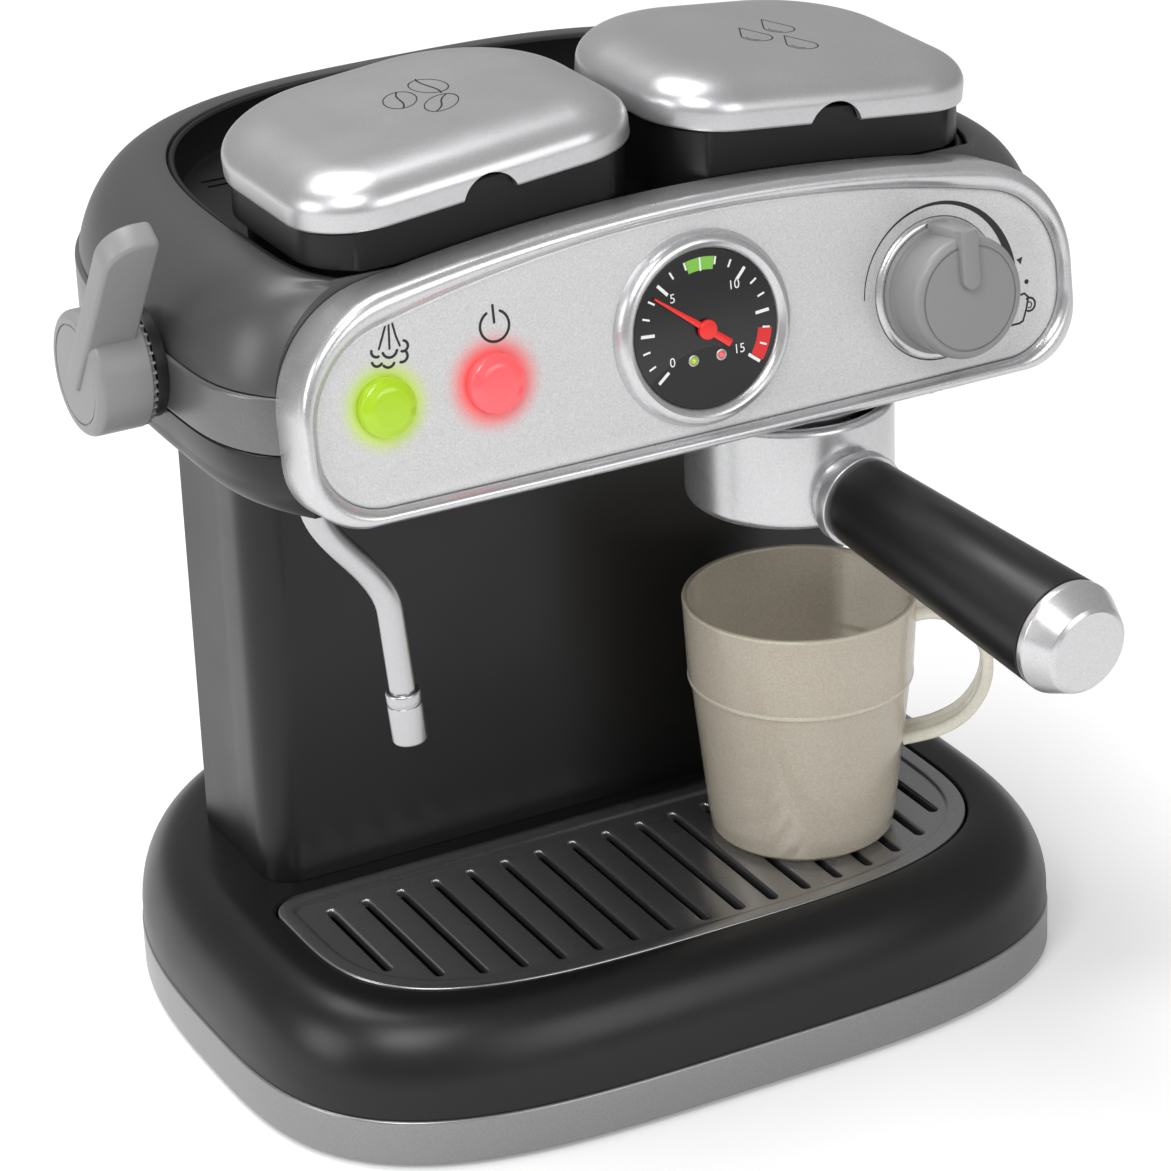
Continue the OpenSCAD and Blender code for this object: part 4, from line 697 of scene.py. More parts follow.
# ---- head
def make_head():
    bend, round_h, top = 7.5, 6.5, BELT_Z0 - 0.7
    bowl = [(WALL + bend * (1 - cos(t)), HEAD_Z + round_h * (1 - sin(t)))
            for t in reversed(quarter(8))]
    bowl += [(WALL * (1 - s) + 0.5 * s - 0.9 * s * (1 - s),
              HEAD_Z + round_h + (top - HEAD_Z - round_h) * s) for s in (i / 8 for i in range(1, 8))]
    bowl += [(0.5, top), (0.8, top + 0.45), (1.3, top + 0.6),
             (WALL + 0.4, top + 0.6, SKIN_D + WALL, WALL),
             (WALL * 2, HEAD_Z + round_h, SKIN_D + WALL, WALL + 0.5),
             (WALL + bend, HEAD_Z + WALL, SKIN_D + WALL, WALL + 1)]
    Shape().loft([head_ring(*row) for row in bowl]).piece(
        "head_bowl", "shell", "housing", "head_lower_shell")

    belt = rounded([(0, BELT_Z0 + 0.05, 0.8), (0, BELT_Z1 - 0.3, 0.9),
                    (WALL, BELT_Z1 - 0.3), (WALL, BELT_Z0 + 0.05)])
    Shape().loft([head_ring(k, z, SKIN_D + (WALL if k > 2 else 0), 0.5 + k * 0.8)
                  for k, z in belt], closed=True).piece("belt_hoop", "belt", "housing", "belt_band")

    rise, rim_in, steps = RIM_Z - SHOULDER_Z0, SHOULDER_RUN + 1.5, 22
    t_foot = asin((BELT_Z1 - SHOULDER_Z0) / rise)
    foot = SHOULDER_RUN * (1 - cos(t_foot))
    shoulder = [(foot + 0.8, BELT_Z1), (foot + 0.25, BELT_Z1 + 0.15)]
    angles = [t_foot + (pi / 2 - t_foot) * i / steps for i in range(1, steps + 1)]
    shoulder += [(k, min(z, RIM_Z - 0.02))
                 for k, z in curve_in(0, SHOULDER_Z0, SHOULDER_RUN, rise, angles)]
    shoulder += [(rim_in - 0.5, RIM_Z, SKIN_D + 0.5, 1),
                 (rim_in - 0.15, RIM_Z - 0.12, SKIN_D + 0.75, 1.2),
                 (rim_in, RIM_Z - 0.5, SKIN_D + 0.85, 1.5)]
    shoulder += [(k, z, SKIN_D + 0.85, WALL) for k, z in curve_in(
        WALL, SHOULDER_Z0, rim_in - WALL, rise - WALL, map(radians, (90, 66, 42, 20)))]
    Shape().loft([head_ring(*row) for row in shoulder], closed=True).piece(
        "head_shoulder", "head", "housing", "head_upper_shell")


def make_top_tray():
    """Recess behind the panel with a raised rim, two vents on each side and a floor."""
    k, d, floor_z = SHOULDER_RUN + 1.7, SKIN_D + 1.05, TRAY_FLOOR_Z
    z0 = floor_z - 2
    rows = [(k, z0, d, 3), (k, RIM_Z - 3.2, d, 3), (k, RIM_Z - 0.9, d, 3),
            (k + 0.5, RIM_Z - 0.4, d + 0.3, 3.2), (k + 1.1, RIM_Z - 0.4, d + 0.9, 3.6),
            (k + 1.5, RIM_Z - 0.9, d + 1.2, 4), (k + 1.5, floor_z + 1.2, d + 1.2, 4),
            (k + 1.9, floor_z + 0.35, d + 1.6, 4), (k + 2.7, floor_z, d + 2.4, 4)]
    rings = [head_ring(*row) for row in rows]
    half_len, half_w = 4, 0.6
    vents = [[(x - half_len, y - half_w), (x + half_len, y - half_w),
              (x + half_len, y + half_w), (x - half_len, y + half_w)]
             for x in (-65, 65) for y in (54, 58)]
    shape = Shape().loft(rings, (True, False))
    shape.sheet([[(x, y) for x, y, _ in rings[-1]]] + vents, level(floor_z))
    for vent in vents:
        shape.loft([at_z(vent, floor_z), at_z(vent, z0 + 0.1)], (False, True))
    shape.piece("top_recess", "black", "housing", "top_tray")


# ---- panel
def make_bezel():
    w, deep = BEZEL_W, BEZEL_DEPTH
    profile = [(0.6, deep), (0.1, deep - 0.3), (0, deep - 0.9), (0, 1.9), (0.05, 0.9),
               (0.18, 0.1), (0.4, -0.55), (0.75, -1.05), (1.2, -1.38), (1.7, -BEZEL_FRONT),
               (2.2, -1.4), (2.7, -1.05), (3.05, -0.5), (3.3, 0), (w - 0.05, 0.5),
               (w, 0.95), (w, deep)]
    Shape().loft([panel_ring(k, d) for k, d in profile], closed=True).piece(
        "bezel_frame", "silver", "housing", "panel_bezel")


def make_fascia():
    """Bowed face with a rolled edge, a fine groove and holes for dial, knob and buttons."""
    edge, back_d, spacing = BEZEL_W + 0.1, FACE_D + FACE_T, 4.0
    spots = [(0, DIAL_W, DIAL_R), (KNOB_U, KNOB_W, FLANGE_R)]
    spots += [(u, BUTTON_W, BUTTON_R) for u in BUTTON_U.values()]
    holes = [circle(u, w, r + play, n) for (u, w, r), (play, n) in zip(
        spots, ((0.1, 128), (0.1, 128), (0.05, 64), (0.05, 64)))]
    outline = panel_outline(edge + 1.3)

    def clear(u, w):
        """Not so near an edge that the face would get slivers."""
        return (min(hypot(u - x, w - y) for x, y in outline) > 2.2
                and min(hypot(u - cu, w - cw) - r for cu, cw, r in spots) > 1.5)

    grid = np.array([(u, w) for u in np.arange(-98, 99, spacing)
                     for w in np.arange(18, 76, spacing)])
    inner = [p for p, k in zip(grid, crossings(grid, [outline])) if k % 2 and clear(*p)]
    rolled = [(edge, back_d), (edge, FACE_D + 0.25), (edge + 0.25, FACE_D),
              (edge + 0.75, FACE_D - 0.14), (edge + 1.3, FACE_D)]
    shape = Shape().loft([panel_ring(k, d) for k, d in rolled], OPEN)
    shape.sheet([outline] + holes, at_face(FACE_D), inner)
    shape.sheet([panel_outline(edge)] + holes, at_face(back_d), inner)
    shape.walls(holes, at_face(FACE_D), at_face(back_d))
    shape.piece("panel_face", "fascia", "housing", "panel_fascia")


def print_shapes(name, loops, look, body, place, thick=0.05):
    """Thin printed shapes; place(u, w, lift) puts them on their surface."""
    shape = Shape()
    for group in loops:
        shape.slab(group, lambda u, w: place(u, w, thick), lambda u, w: place(u, w, 0.0))
    shape.piece(name, look, body)


def make_gauge():
    r, seat = DIAL_R, DIAL_D
    ring = [(0, -0.7), (0, 0.7), (0.25, 1.2), (0.7, 1.7), (1.2, 2.0), (1.7, 2.2), (2.2, 2.1),
            (2.8, 1.75), (3.3, 1.2), (3.75, 0.5), (4.1, -0.2), (4.3, -0.75)]
    rings = [[panel_point(u, -z, w) for u, w in circle(0, DIAL_W, r + k, 144)]
             for k, z in ring]
    foot = [[panel_point(u, FACE_D + bow(u) + 0.05, w) for u, w in circle(0, DIAL_W, r + k, 144)]
            for k in (4.3, 0)]
    Shape().loft(rings + foot, closed=True).piece("gauge_rim", "silver", "housing", "gauge_ring")
    disc = rounded([(0, -3.4), (r - 0.1, -3.4), (r - 0.1, -seat + 0.02, 0.15),
                    (0, -seat)])
    turned("dial_disc", "dial", "housing", disc, out_of_panel(0, DIAL_W), 128, "gauge_dial")

    def place(u, w, lift):
        return panel_point(u * r, seat - lift, DIAL_W + w * r)

    def spoke(turn, r0, r1, half):
        g = radians(90 - turn)
        e, s = (cos(g), sin(g)), (-sin(g), cos(g))
        return [tuple(e[i] * a + s[i] * b for i in (0, 1))
                for a, b in ((r0, -half), (r1, -half), (r1, half), (r0, half))]

    def segment(a0, a1, r1):
        return arc(0, 0, r1, 90 - a0, 90 - a1, 8) + arc(0, 0, 0.74, 90 - a1, 90 - a0, 8)

    last, middle, sweep = 18, 9, 128 / 7.5
    ticks = []
    for i in range(last + 1):
        start, half = (0.71, 0.020) if i % 3 == 0 else (0.80, 0.012)
        if i == middle:
            start, half = 0.73, 0.011
        ticks.append([spoke((15 * i / last - 7.5) * sweep, start, 0.90, half)])
    lower = arc(0, -1.47, 1.235, 131.6, 48.4, 40) + arc(0, 0, 0.985, -33.7, -146.3, 40)
    zones = [[segment(-13, -0.9, 0.90)], [segment(0.9, 13, 0.90)]]
    for name, loops, look, thick in (
            ("ticks", ticks, "white", 0.09), ("green_zone", zones, "green", 0.05),
            ("red_zone", [[segment(100, 126, 0.93)]], "red", 0.05),
            ("lower_field", [[lower]], "print", 0.03)):
        print_shapes("dial_" + name, loops, look, "housing", place, thick)
    for text, u, w in (("0", -0.50, -0.33), ("5", -0.42, 0.46), ("10", 0.44, 0.47),
                       ("15", 0.44, -0.34)):
        number(text, u, w, place)
    # The dial's two dots are print on the real toy, not lamps; the emission of the lit-plastic look
    # on these domes is painted glow.
    lamp = [(0.0, 0.9), (0.35, 0.82), (0.62, 0.6), (0.8, 0.3), (0.86, 0.0)]
    rim = rounded([(0.86, -seat), (1.35, -seat), (1.35, 0.22 - seat, 0.1),
                   (0.86, 0.3 - seat, 0.1)], 3)
    for name, u, look in (("dial_glow_dot_green", -0.208, "green_lit"),
                          ("dial_glow_dot_red", 0.181, "red_lit")):
        spot = out_of_panel(u * r, DIAL_W - 0.36 * r)
        turned(name, look, "housing", [(x, z - seat) for x, z in lamp] + [(0, -seat)], spot, 32)
        turned(name + "_rim", "steel", "housing", rim, spot, 32)


def number(text, u, w, place):
    """Printed number on the dial, its middle at (u, w) in dial radii."""
    curve = bpy.data.curves.new("number_" + text, "FONT")
    curve.body = text
    curve.size = 0.165
    curve.align_x = "CENTER"
    curve.align_y = "CENTER"
    source = bpy.data.objects.new("number_source", curve)
    bpy.context.scene.collection.objects.link(source)
    bpy.context.view_layer.update()
    mesh = evaluated_mesh(source)
    bpy.data.objects.remove(source)
    verts = [place(u + v.co.x, w + v.co.y, 0.09) for v in mesh.vertices]
    faces = [tuple(p.vertices) for p in mesh.polygons]
    piece("dial_number_" + text, verts, faces, "white", "housing")
    bpy.data.meshes.remove(mesh)


def make_needle():
    r, rest, hub_r, pin_r = DIAL_R, radians(52.9), 0.124 * DIAL_R, 0.7
    c, s = cos(rest), sin(rest)

    def place(u, w, z):
        return panel_point(u * c - w * s, -z, DIAL_W + u * s + w * c)

    half = [(0.22, 0.857 * r), (0.75, 1.5), (0.82, 0), (0.9, -0.38 * r)]
    outline = half + [(-u, w) for u, w in reversed(half)]
    foot = 0.6 - DIAL_D
    shape = Shape().loft([[place(u, w, foot) for u, w in outline],
                          [place(u, w, foot + 0.38) for u, w in outline],
                          [place(u * 0.55, w * 0.995, foot + 0.6) for u, w in outline]])
    shape.lathe(rounded([(0, foot - 0.1), (hub_r, foot - 0.1),
                         (hub_r, foot + 0.85, 0.25), (0, foot + 0.9)]), place, 48)
    shape.lathe(rod(pin_r, -9, foot + 0.1), place, 24)
    shape.piece("needle_pointer", "needle", "needle", "gauge_needle")


def make_buttons():
    """Domed caps with a flange behind the face and a stem, clear of the belt at full push."""
    r, stem_r, stem_end, collar_r = BUTTON_R, 3, 12.35, BUTTON_R + 1.2
    dome = [(0, 0), (r * 0.3, 0), (r * 0.55, 0.05), (r * 0.66, 0.14), (r * 0.73, 0.3),
            (r * 0.79, 0.62), (r * 0.86, 0.85), (r * 0.93, 1.1), (r * 0.98, 1.5), (r, 2.1)]
    for key, look, body in (("steam", "green_lit", "green_button"),
                            ("power", "red_lit", "red_button")):
        u = BUTTON_U[key]
        top = 3.5 - (FACE_D + bow(u))
        back = FACE_D + FACE_T + bow(abs(u) + BUTTON_R + 1.2) + 0.05
        profile = [(x, top - drop) for x, drop in dome]
        profile += [(r, -back), (collar_r, -back), (collar_r, -back - 1), (stem_r, -back - 1),
                    (stem_r, -stem_end), (0, -stem_end)]
        turned(key + "_push", look, body, profile, out_of_panel(u, BUTTON_W), 72,
               key + "_button", angle=50)


def make_knob():
    r, place = FLANGE_R, out_of_panel(KNOB_U, KNOB_W)
    seat = FACE_D + bow(KNOB_U - r) - 0.7
    back = 8 + bow(KNOB_U - r) - 0.1
    flange = [(11.2, -seat), (r - 1.5, -seat), (r - 1.0, -seat - 0.1), (r - 0.5, -seat - 0.4),
              (r - 0.12, -seat - 0.9), (r, -seat - 1.5), (r, -back), (11.2, -back)]
    turned("knob_collar", "silver", "housing", flange, place, 128, "knob_flange")

    h = KNOB_H - FACE_D - bow(KNOB_U)
    foot, front, shaft_r = 0.3 - seat, KNOB_FRONT_R, 3
    side = rounded([(0, foot), (KNOB_R, foot, 0.2), (KNOB_R, foot + 1.3, 0.5),
                    (KNOB_R - 1.3, foot + 1.5, 0.35), (front, h - 2.0, 0.8),
                    (front, h, 1.8), (front - 2.0, h, 0.12), (front - 2.05, h - 0.35),
                    (front - 2.4, h - 0.35), (front - 2.45, h, 0.12), (0, h)], 6)
    shape = Shape().lathe(side, place, 128)
    shape.lathe(rod(shaft_r, -14, foot + 0.1), place, 32)
    shape.piece("knob_body", "knob", "knob", "main_knob", "valve_plug")

    # Pointer ridge over the face, and its rail down the side, a little narrower so that no
    # two faces coincide
    w, high, near, far, edge = 2.3, 1.8, 2.3, front + 1.8, 0.45
    loop = [(-w, far), *arc(0, near + w, w, 180, 360, 24), (w, far)]
    levels = [(0, h - 0.6), (0, h + high - edge)]
    levels += curve_in(0, h + high - edge, edge, edge, map(radians, (30, 60, 90)))
    ridge = Shape().loft([
        [place(x * (w - k) / w, min(y, far - k * 1.6) if y > near + w
               else near + w + (y - near - w) * (w - k) / w, z) for x, y in loop]
        for k, z in levels])
    v = w - 0.03
    half = [(-v, front - 2), (-v, far - edge), (-v + edge * 0.4, far - edge * 0.25),
            (-v + edge, far + 0.02)]
    rail = half + [(-x, y) for x, y in reversed(half)]
    top = h + high
    levels = [(foot + 0.25, 0.0), (foot + 0.6, 0.0), (top - 1.6, 0), (top - 0.9, 0.12),
              (top - 0.4, 0.45), (top - 0.12, 0.9)]
    ridge.loft([[place(x, y - cut if y > front else y, z) for x, y in rail]
                for z, cut in levels])
    ridge.piece("knob_ridge", "knob", "knob")


def make_face_prints():
    """Scale arc, marks and symbols that are printed on the silver face."""

    def printed(name, loops):
        print_shapes(name, loops, "print", "housing", face_print)

    def pen(lines, width, u0=0.0, w0=0.0):
        return [[stroke([(u0 + x, w0 + y) for x, y in line], width)] for line in lines]

    steps, scale_w = 64, KNOB_W - 0.4
    outer, inner = [], []
    for i in range(steps + 1):
        s = i / steps
        g, rad, half = radians(176 - 172 * s), 20.0 + 0.8 * s, (0.25 + 2.2 * s ** 2.2) / 2
        for side, out in ((half, outer), (-half, inner)):
            out.append((KNOB_U + (rad + side) * cos(g), scale_w + (rad + side) * sin(g)))
    triangle = [(85.3, 44.3), (87.0, 44.7), (86.4, 42.9)]
    printed("knob_scale", [[outer + inner[::-1]], [triangle], [circle(87.7, 38.5, 0.6, 20)]])

    bowl = [(81.5, 35.2), (86.9, 35.8), (87.9, 34.7), (87.2, 32.2), (86.0, 29.3), (84.9, 28.9),
            (82.6, 28.9)]
    printed("cup_symbol", pen([bowl, arc(88.1, 32.9, 1.6, 115, -115, 16)], 0.5)
            + pen([arc(88.0, 32.8, 0.7, 110, -110, 10)], 0.3))
    printed("power_symbol", pen([arc(0, -0.6, 3.55, 118, 422, 40), [(0, 4.1), (0, 0.2)]],
                                0.62, -51.3, 57.0))
    jets = [[(-0.1, 5.9), (-1.2, 3.3), (-2.3, 0.8)], [(0.6, 5.8), (0.4, 3.0), (0.2, 0.4)],
            [(1.5, 5.8), (2.0, 2.9), (2.7, 0.6)]]
    puffs = ((-2.9, 0.4, 1.25, 165, 285), (0.2, 0.2, 1.75, 195, 345), (3.4, 0.4, 1.2, 75, -110),
             (2.9, -1.8, 1.35, 30, -110), (-3.0, -1.7, 1.25, 190, 320),
             (-0.4, -2.2, 1.5, 215, 330))
    spot = (-77.0, 56.0)
    printed("steam_symbol", pen(jets, 0.5, *spot)
            + pen([arc(*puff, 16) for puff in puffs], 0.62, *spot))


# ---- steam knob and wand
def make_steam_knob():
    x0, x1, r, teeth = -STEAM_FACE_X, -STEAM_FOOT_X, STEAM_R, 40
    drum = rounded([(0, x1), (r - 1.2, x1, 0.3), (r - 1.2, x1 + 0.9, 0.1),
                    (r, x1 + 1.1, 0.4), (r, x0, 2.2), (r - 2.9, x0, 0.1),
                    (r - 2.95, x0 - 0.4), (r - 3.25, x0 - 0.4), (r - 3.3, x0 - 0.1, 0.1),
                    (0, x0 - 0.1)], 7)
    shape = Shape().lathe(drum, along_x, 128)
    shape.lathe(rod(3, 101, x1 + 0.5), along_x, 32)
    tooth = [(-0.5, r - 1.6), (-0.25, r - 0.2), (0.25, r - 0.2), (0.5, r - 1.6)]
    for g in turns(teeth):
        c, s = cos(g), sin(g)
        ring = [(a * c - b * s, a * s + b * c) for a, b in tooth]
        shape.loft([[along_x(a, b, x1 + lift) for a, b in ring] for lift in (0.02, 1.0)])
    shape.piece("steam_drum", "knob", "steam_lever", "steam_knob", angle=35)

    # Lever blade: one rounded plate that leans forward and hooks onto the drum's face
    round_r, edge, start, low = 8.0, 1.1, -0.8, STEAM_R * 0.8
    c, s, half = cos(LEVER_LEAN), sin(LEVER_LEAN), LEVER_T / 2

    def blade(k, across):
        top, left, right = LEVER_LEN - k, start + k, LEVER_W + start - k
        outline = (arc(left + round_r - k, top - round_r + k, round_r - k, 180, 90, 12)
                   + arc(right - 2 + k, top - 2 + k, 2 - k, 90, 0, 6)
                   + [(right, low + k), (4 - k, low - 1), (4 - k, 1.2),
                      (left + 2, -3.4 + k), (left, -1.8)])
        return [(STEAM_FACE_X + x, STEAM_Y + across * c - y * s, STEAM_Z + across * s + y * c)
                for x, y in outline]

    rings = [blade(edge * (1 - sin(t)), -half + edge * (1 - cos(t))) for t in quarter(6)]
    rings += [blade(*row) for row in curve_in(0, half - edge, edge, edge, quarter(6))]
    Shape().loft(rings).piece("steam_blade", "knob", "steam_lever", angle=40)

    boss = rounded([(3.05, 103), (5.5, 103), (5.5, 110.03), (r - 1.5, 110.03),
                    (r - 1.5, 113, 0.6), (3.05, 113)], 5)
    turned("steam_seat", "black", "housing", boss, along_x, 96, "steam_boss")


def make_wand():
    top = np.array([WAND_X, WAND_Y, HEAD_Z - 1.5])
    lean_c, lean_s, steps = cos(WAND_LEAN), sin(WAND_LEAN), 40
    along = np.array([lean_s, 0, -lean_c])
    low = top + np.array(WAND_BEND)
    tip = low + WAND_DROP * along
    d = low + 6 * along
    b, c = top + (0, 0, -12) + (0.3, 0, 0), d - 13 * along
    path = [top + (0, 0, 2)]
    for t in (i / steps for i in range(steps + 1)):
        path.append((1 - t) ** 3 * top + 3 * (1 - t) ** 2 * t * b + 3 * (1 - t) * t ** 2 * c
                    + t ** 3 * d)
    path.append(tip - 4.2 * along)
    shape = Shape().loft(tube_rings(path, WAND_R - 0.05, 40))
    shape.lathe(rod(WAND_R + 0.1, 0, 11), upright(*top), 40)
    shape.piece("wand_pipe", "steel", "wand", "steam_wand")

    def at_tip(x, y, z):
        return tip[0] + x * lean_c - z * lean_s, tip[1] + y, tip[2] + x * lean_s + z * lean_c

    r, n = NOZZLE_R, NOZZLE_LEN
    nozzle = rounded([(0.8, 0), (r, 0, 0.7), (r, n - 3.6, 0.25), (r - 0.28, n - 3.4),
                      (r - 0.28, n - 3.0), (r, n - 2.8, 0.25), (r, n, 0.7), (WAND_R, n),
                      (WAND_R, 4), (0.8, 4)], 4)
    turned("wand_tip", "steel", "wand", nozzle, at_tip, 64, "wand_nozzle")
    bore, outer = WAND_R + 0.15, WAND_R + 2.5
    collar = rounded([(bore, -0.8), (outer, -0.8, 0.5), (outer, 8), (bore, 8)])
    turned("wand_bush", "black", "housing", collar, upright(WAND_X, WAND_Y, HEAD_Z), 48,
           "wand_collar")


# ---- group and handle
def make_group():
    place, r, z0, z1 = upright(GROUP_X, GROUP_Y), FILTER_R, FILTER_Z0, FILTER_Z1
    lower = rounded([(4, z0), (r, z0, 2.4), (r, z1, 1.7), (r - 2.2, z1),
                     (r - 2.2, z0 + 2.5), (4, z0 + 2.5)], 9)
    turned("portafilter_cup", "silver", "portafilter", lower, place, 160, "portafilter_body")
    ring = rounded([(3, 152.5), (16, 152.5), (16, 158.2), (21.5, 158.2, 0.6),
                    (21.5, 162.95), (12, 162.95), (12, 173), (3, 173)])
    turned("brew_ring", "silver", "housing", ring, place, 128, "group_ring")


def make_handle():
    r, start, end, g, e = FILTER_R, GRIP_START, GRIP_END, GRIP_R1, HANDLE_LEN
    neck = rounded([(0, r - 3), (10, r - 3), (10, r + 0.5, 0.3), (10.7, r + 0.7, 0.2),
                    (11.6, r + 1.2, 0.3), (11.6, start - 0.1, 0.3), (3, start - 0.1),
                    (3, start + 30), (0, start + 30)], 4)
    grip = rounded([(3.05, start), (GRIP_R0, start, 1.2), (g, end, 0.4), (3.05, end)], 6)
    cap = rounded([(0, end), (g - 0.5, end), (g - 0.5, end + 0.4, 0.1),
                   (g + 0.1, end + 0.5, 0.3), (g + 0.1, end + 2.2, 0.8), (g - 2.9, e - 0.7, 1.2),
                   (g - 4.0, e, 0.5), (0, e)], 5)
    for name, look, profile, steps, node in (
            ("handle_socket", "silver", neck, 96, "handle_neck"),
            ("handle_sleeve", "shell", grip, 128, "handle_grip"),
            ("handle_button", "silver", cap, 128, "handle_cap")):
        turned(name, look, "portafilter", profile, at_handle, steps, node)


# ---- tubs and lids
def cut_away(obj, cutter):
    """Cuts obj's mesh by cutter, once, and removes cutter."""
    mod = obj.modifiers.new("cut", "BOOLEAN")
    mod.object = cutter
    mod.solver = "EXACT"
    bpy.context.view_layer.update()
    mesh, old = evaluated_mesh(obj), obj.data
    obj.modifiers.clear()
    obj.data = mesh
    mesh.name = obj.name
    bpy.data.meshes.remove(old)
    bpy.data.objects.remove(cutter)
    smooth_by_angle(mesh, 35)


def make_lids():
    wall, notch, top = 2.0, rod(7.1, -4, 4), LID_WALL_H + LID_ROUND_H
    rows = curve_in(wall, LID_WALL_H, LID_ROUND - wall, LID_ROUND_H - wall,
                    map(radians, (90, 70, 50, 30, 0)))
    rows += [(wall, 0), (0.7, 0), (0.25, 0.12), (0.05, 0.4), (0, 0.8)]
    rows += curve_in(0, LID_WALL_H, LID_ROUND, LID_ROUND_H, quarter(24))
    for side, name, node, body in ((1, "lid_right", "water_lid", "right_lid"),
                                   (-1, "lid_left", "bean_lid", "left_lid")):
        place = at_lid(side)
        lid = Shape().loft([[place(x, y, z) for x, y in lid_outline(k)] for k, z in rows]).piece(
            name, "lid", body, node)
        cutter = Shape().lathe(notch, lambda x, y, z: place(x, -LID_D / 2 + 1 + z, y - 2.0), 64)
        cut_away(lid, cutter.piece("cutter", "black", body))
        loops = drops() if side > 0 else beans()
        print_shapes(name.replace("lid_", "lid_mark_"), loops, "print", body,
                     lambda u, w, lift: place(side * u, w, top + lift), 0.03)


def drops():
    """Outlines of three drops, each with a glint, on the water lid."""
    loops = []
    for x, y in ((-2.9, -4.4), (6.3, 0.9), (3.9, -13.8)):
        tip = (x + 0.1, y + 8.5)
        loops.append([stroke([tip, *arc(x, y, 3.7, 160, 385, 28), tip], 0.34)])
        loops.append([stroke(arc(x, y, 2.7, 170, 255, 10), 0.3)])
    return loops


def beans():
    """Outlines of three beans with their creases, on the bean lid."""
    loops = []
    for x, y, (ax, ay), (bx, by), lean in (
            (-1.9, 1.3, (3.2, -2.6), (2.7, 4.8), 0.25), (7.0, 4.6, (3.5, -3.8), (1.9, 4.2), 0.6),
            (4.5, -7.2, (3.4, -2.0), (3.3, 4.5), -0.1)):
        loops.append([[(x + k * (ax * a + bx * b), y + k * (ay * a + by * b))
                       for a, b in circle(0, 0, 1, 48)] for k in (1.0, 0.93)])
        crease = []
        for t in np.linspace(-0.93, 0.93, 15):
            a = -lean * t - 0.14 * sin(pi * t)
            crease.append((x + ax * a + bx * t, y + ay * a + by * t))
        loops.append([stroke(crease, 0.42)])
    return loops


def make_tubs():
    """Black tubs: narrow below the rim, wide above it, with a collar inside the lid."""
    front = -LID_D / 2
    low_front = panel_surface(70, RIM_Z, SKIN_D + 2.25) + 0.5 - LID_Y
    cut, floor_z = front + 3.35, TRAY_FLOOR_Z + 0.05
    # Rows of inset, height and frontmost y; the collar's heights are from the lid's foot
    below = [(4.6, floor_z, low_front), (4.6, RIM_Z + 0.6, low_front),
             (1.9, RIM_Z + 0.6, cut), (1.5, RIM_Z + 1.0, cut)]
    collar = [(1.5, -0.5, cut), (2.0, 0, cut), (2.6, 0, front), (2.6, 3.2, front),
              (3.0, 3.6, front), (3.7, 3.6, front), (4.1, 3.2, front), (4.1, 0, cut + 1.8)]
    inside = [(6.4, RIM_Z, low_front + 1.8), (6.4, floor_z + 1.8, low_front + 1.8)]
    for side, name, node in ((1, "tub_right", "water_tank"), (-1, "tub_left", "bean_tub")):
        rings = [[(side * (LID_X + x), LID_Y + max(y, y_min),
                   LID_Z - 0.2 - x * tan(LID_TILT) + z if rows is collar else z)
                  for x, y in lid_outline(k)]
                 for rows in (below, collar, inside) for k, z, y_min in rows]
        Shape().loft(rings).piece(name, "tub", "housing", node)


# ---- cup
def make_cup():
    r, h, wall, floor_z = CUP_R, CUP_H, 1.8, 2.4
    foot, step_h, step_r = r - 5.6, h - 22.0, r - 1.7
    outer = [(0, 0.9), (foot - 6.5, 0.9, 0.4), (foot - 5, 0, 0.4), (foot - 2.6, 0, 0.8),
             (foot - 0.7, 1.6, 1.2), (foot, 5.8, 2.5), (step_r, step_h, 0.4),
             (step_r + 0.6, step_h + 0.8, 0.4), (r, h, 0.8)]
    inner = [(r - wall, h, 0.7), (step_r - wall + 0.5, step_h + 1, 1.5),
             (step_r - wall, step_h - 2, 1.5), (foot - wall - 0.4, 4.8, 2.0),
             (foot - 5, floor_z, 1.5), (0, floor_z)]
    band = [(step_r + 0.05, step_h - 0.35, 0.2), (step_r + 0.75, step_h + 0.3, 0.25),
            (step_r + 0.75, step_h + 1.1, 0.25), (step_r + 0.3, step_h + 1.4, 0.1),
            (step_r - 0.1, step_h + 0.4)]
    lip = [(r - 0.9, h - 0.9), (r + 0.02, h - 0.9, 0.2), (r + 0.02, h, 0.5),
           (r - 1.75, h, 0.5), (r - 1.82, h - 0.9)]
    # The lip and the step band are drawn in the lighter cup copy, a painted highlight.
    for name, look, corners, steps, *node in (
            ("cup_wall", "cup", outer + inner, 5, "cup"),
            ("cup_step_line", "cup_edge", band, 3), ("cup_lip", "cup_edge", lip, 4)):
        turned(name, look, "drinking_cup", rounded(corners, steps),
               upright(CUP_X, CUP_Y, CUP_Z), 144, *node)


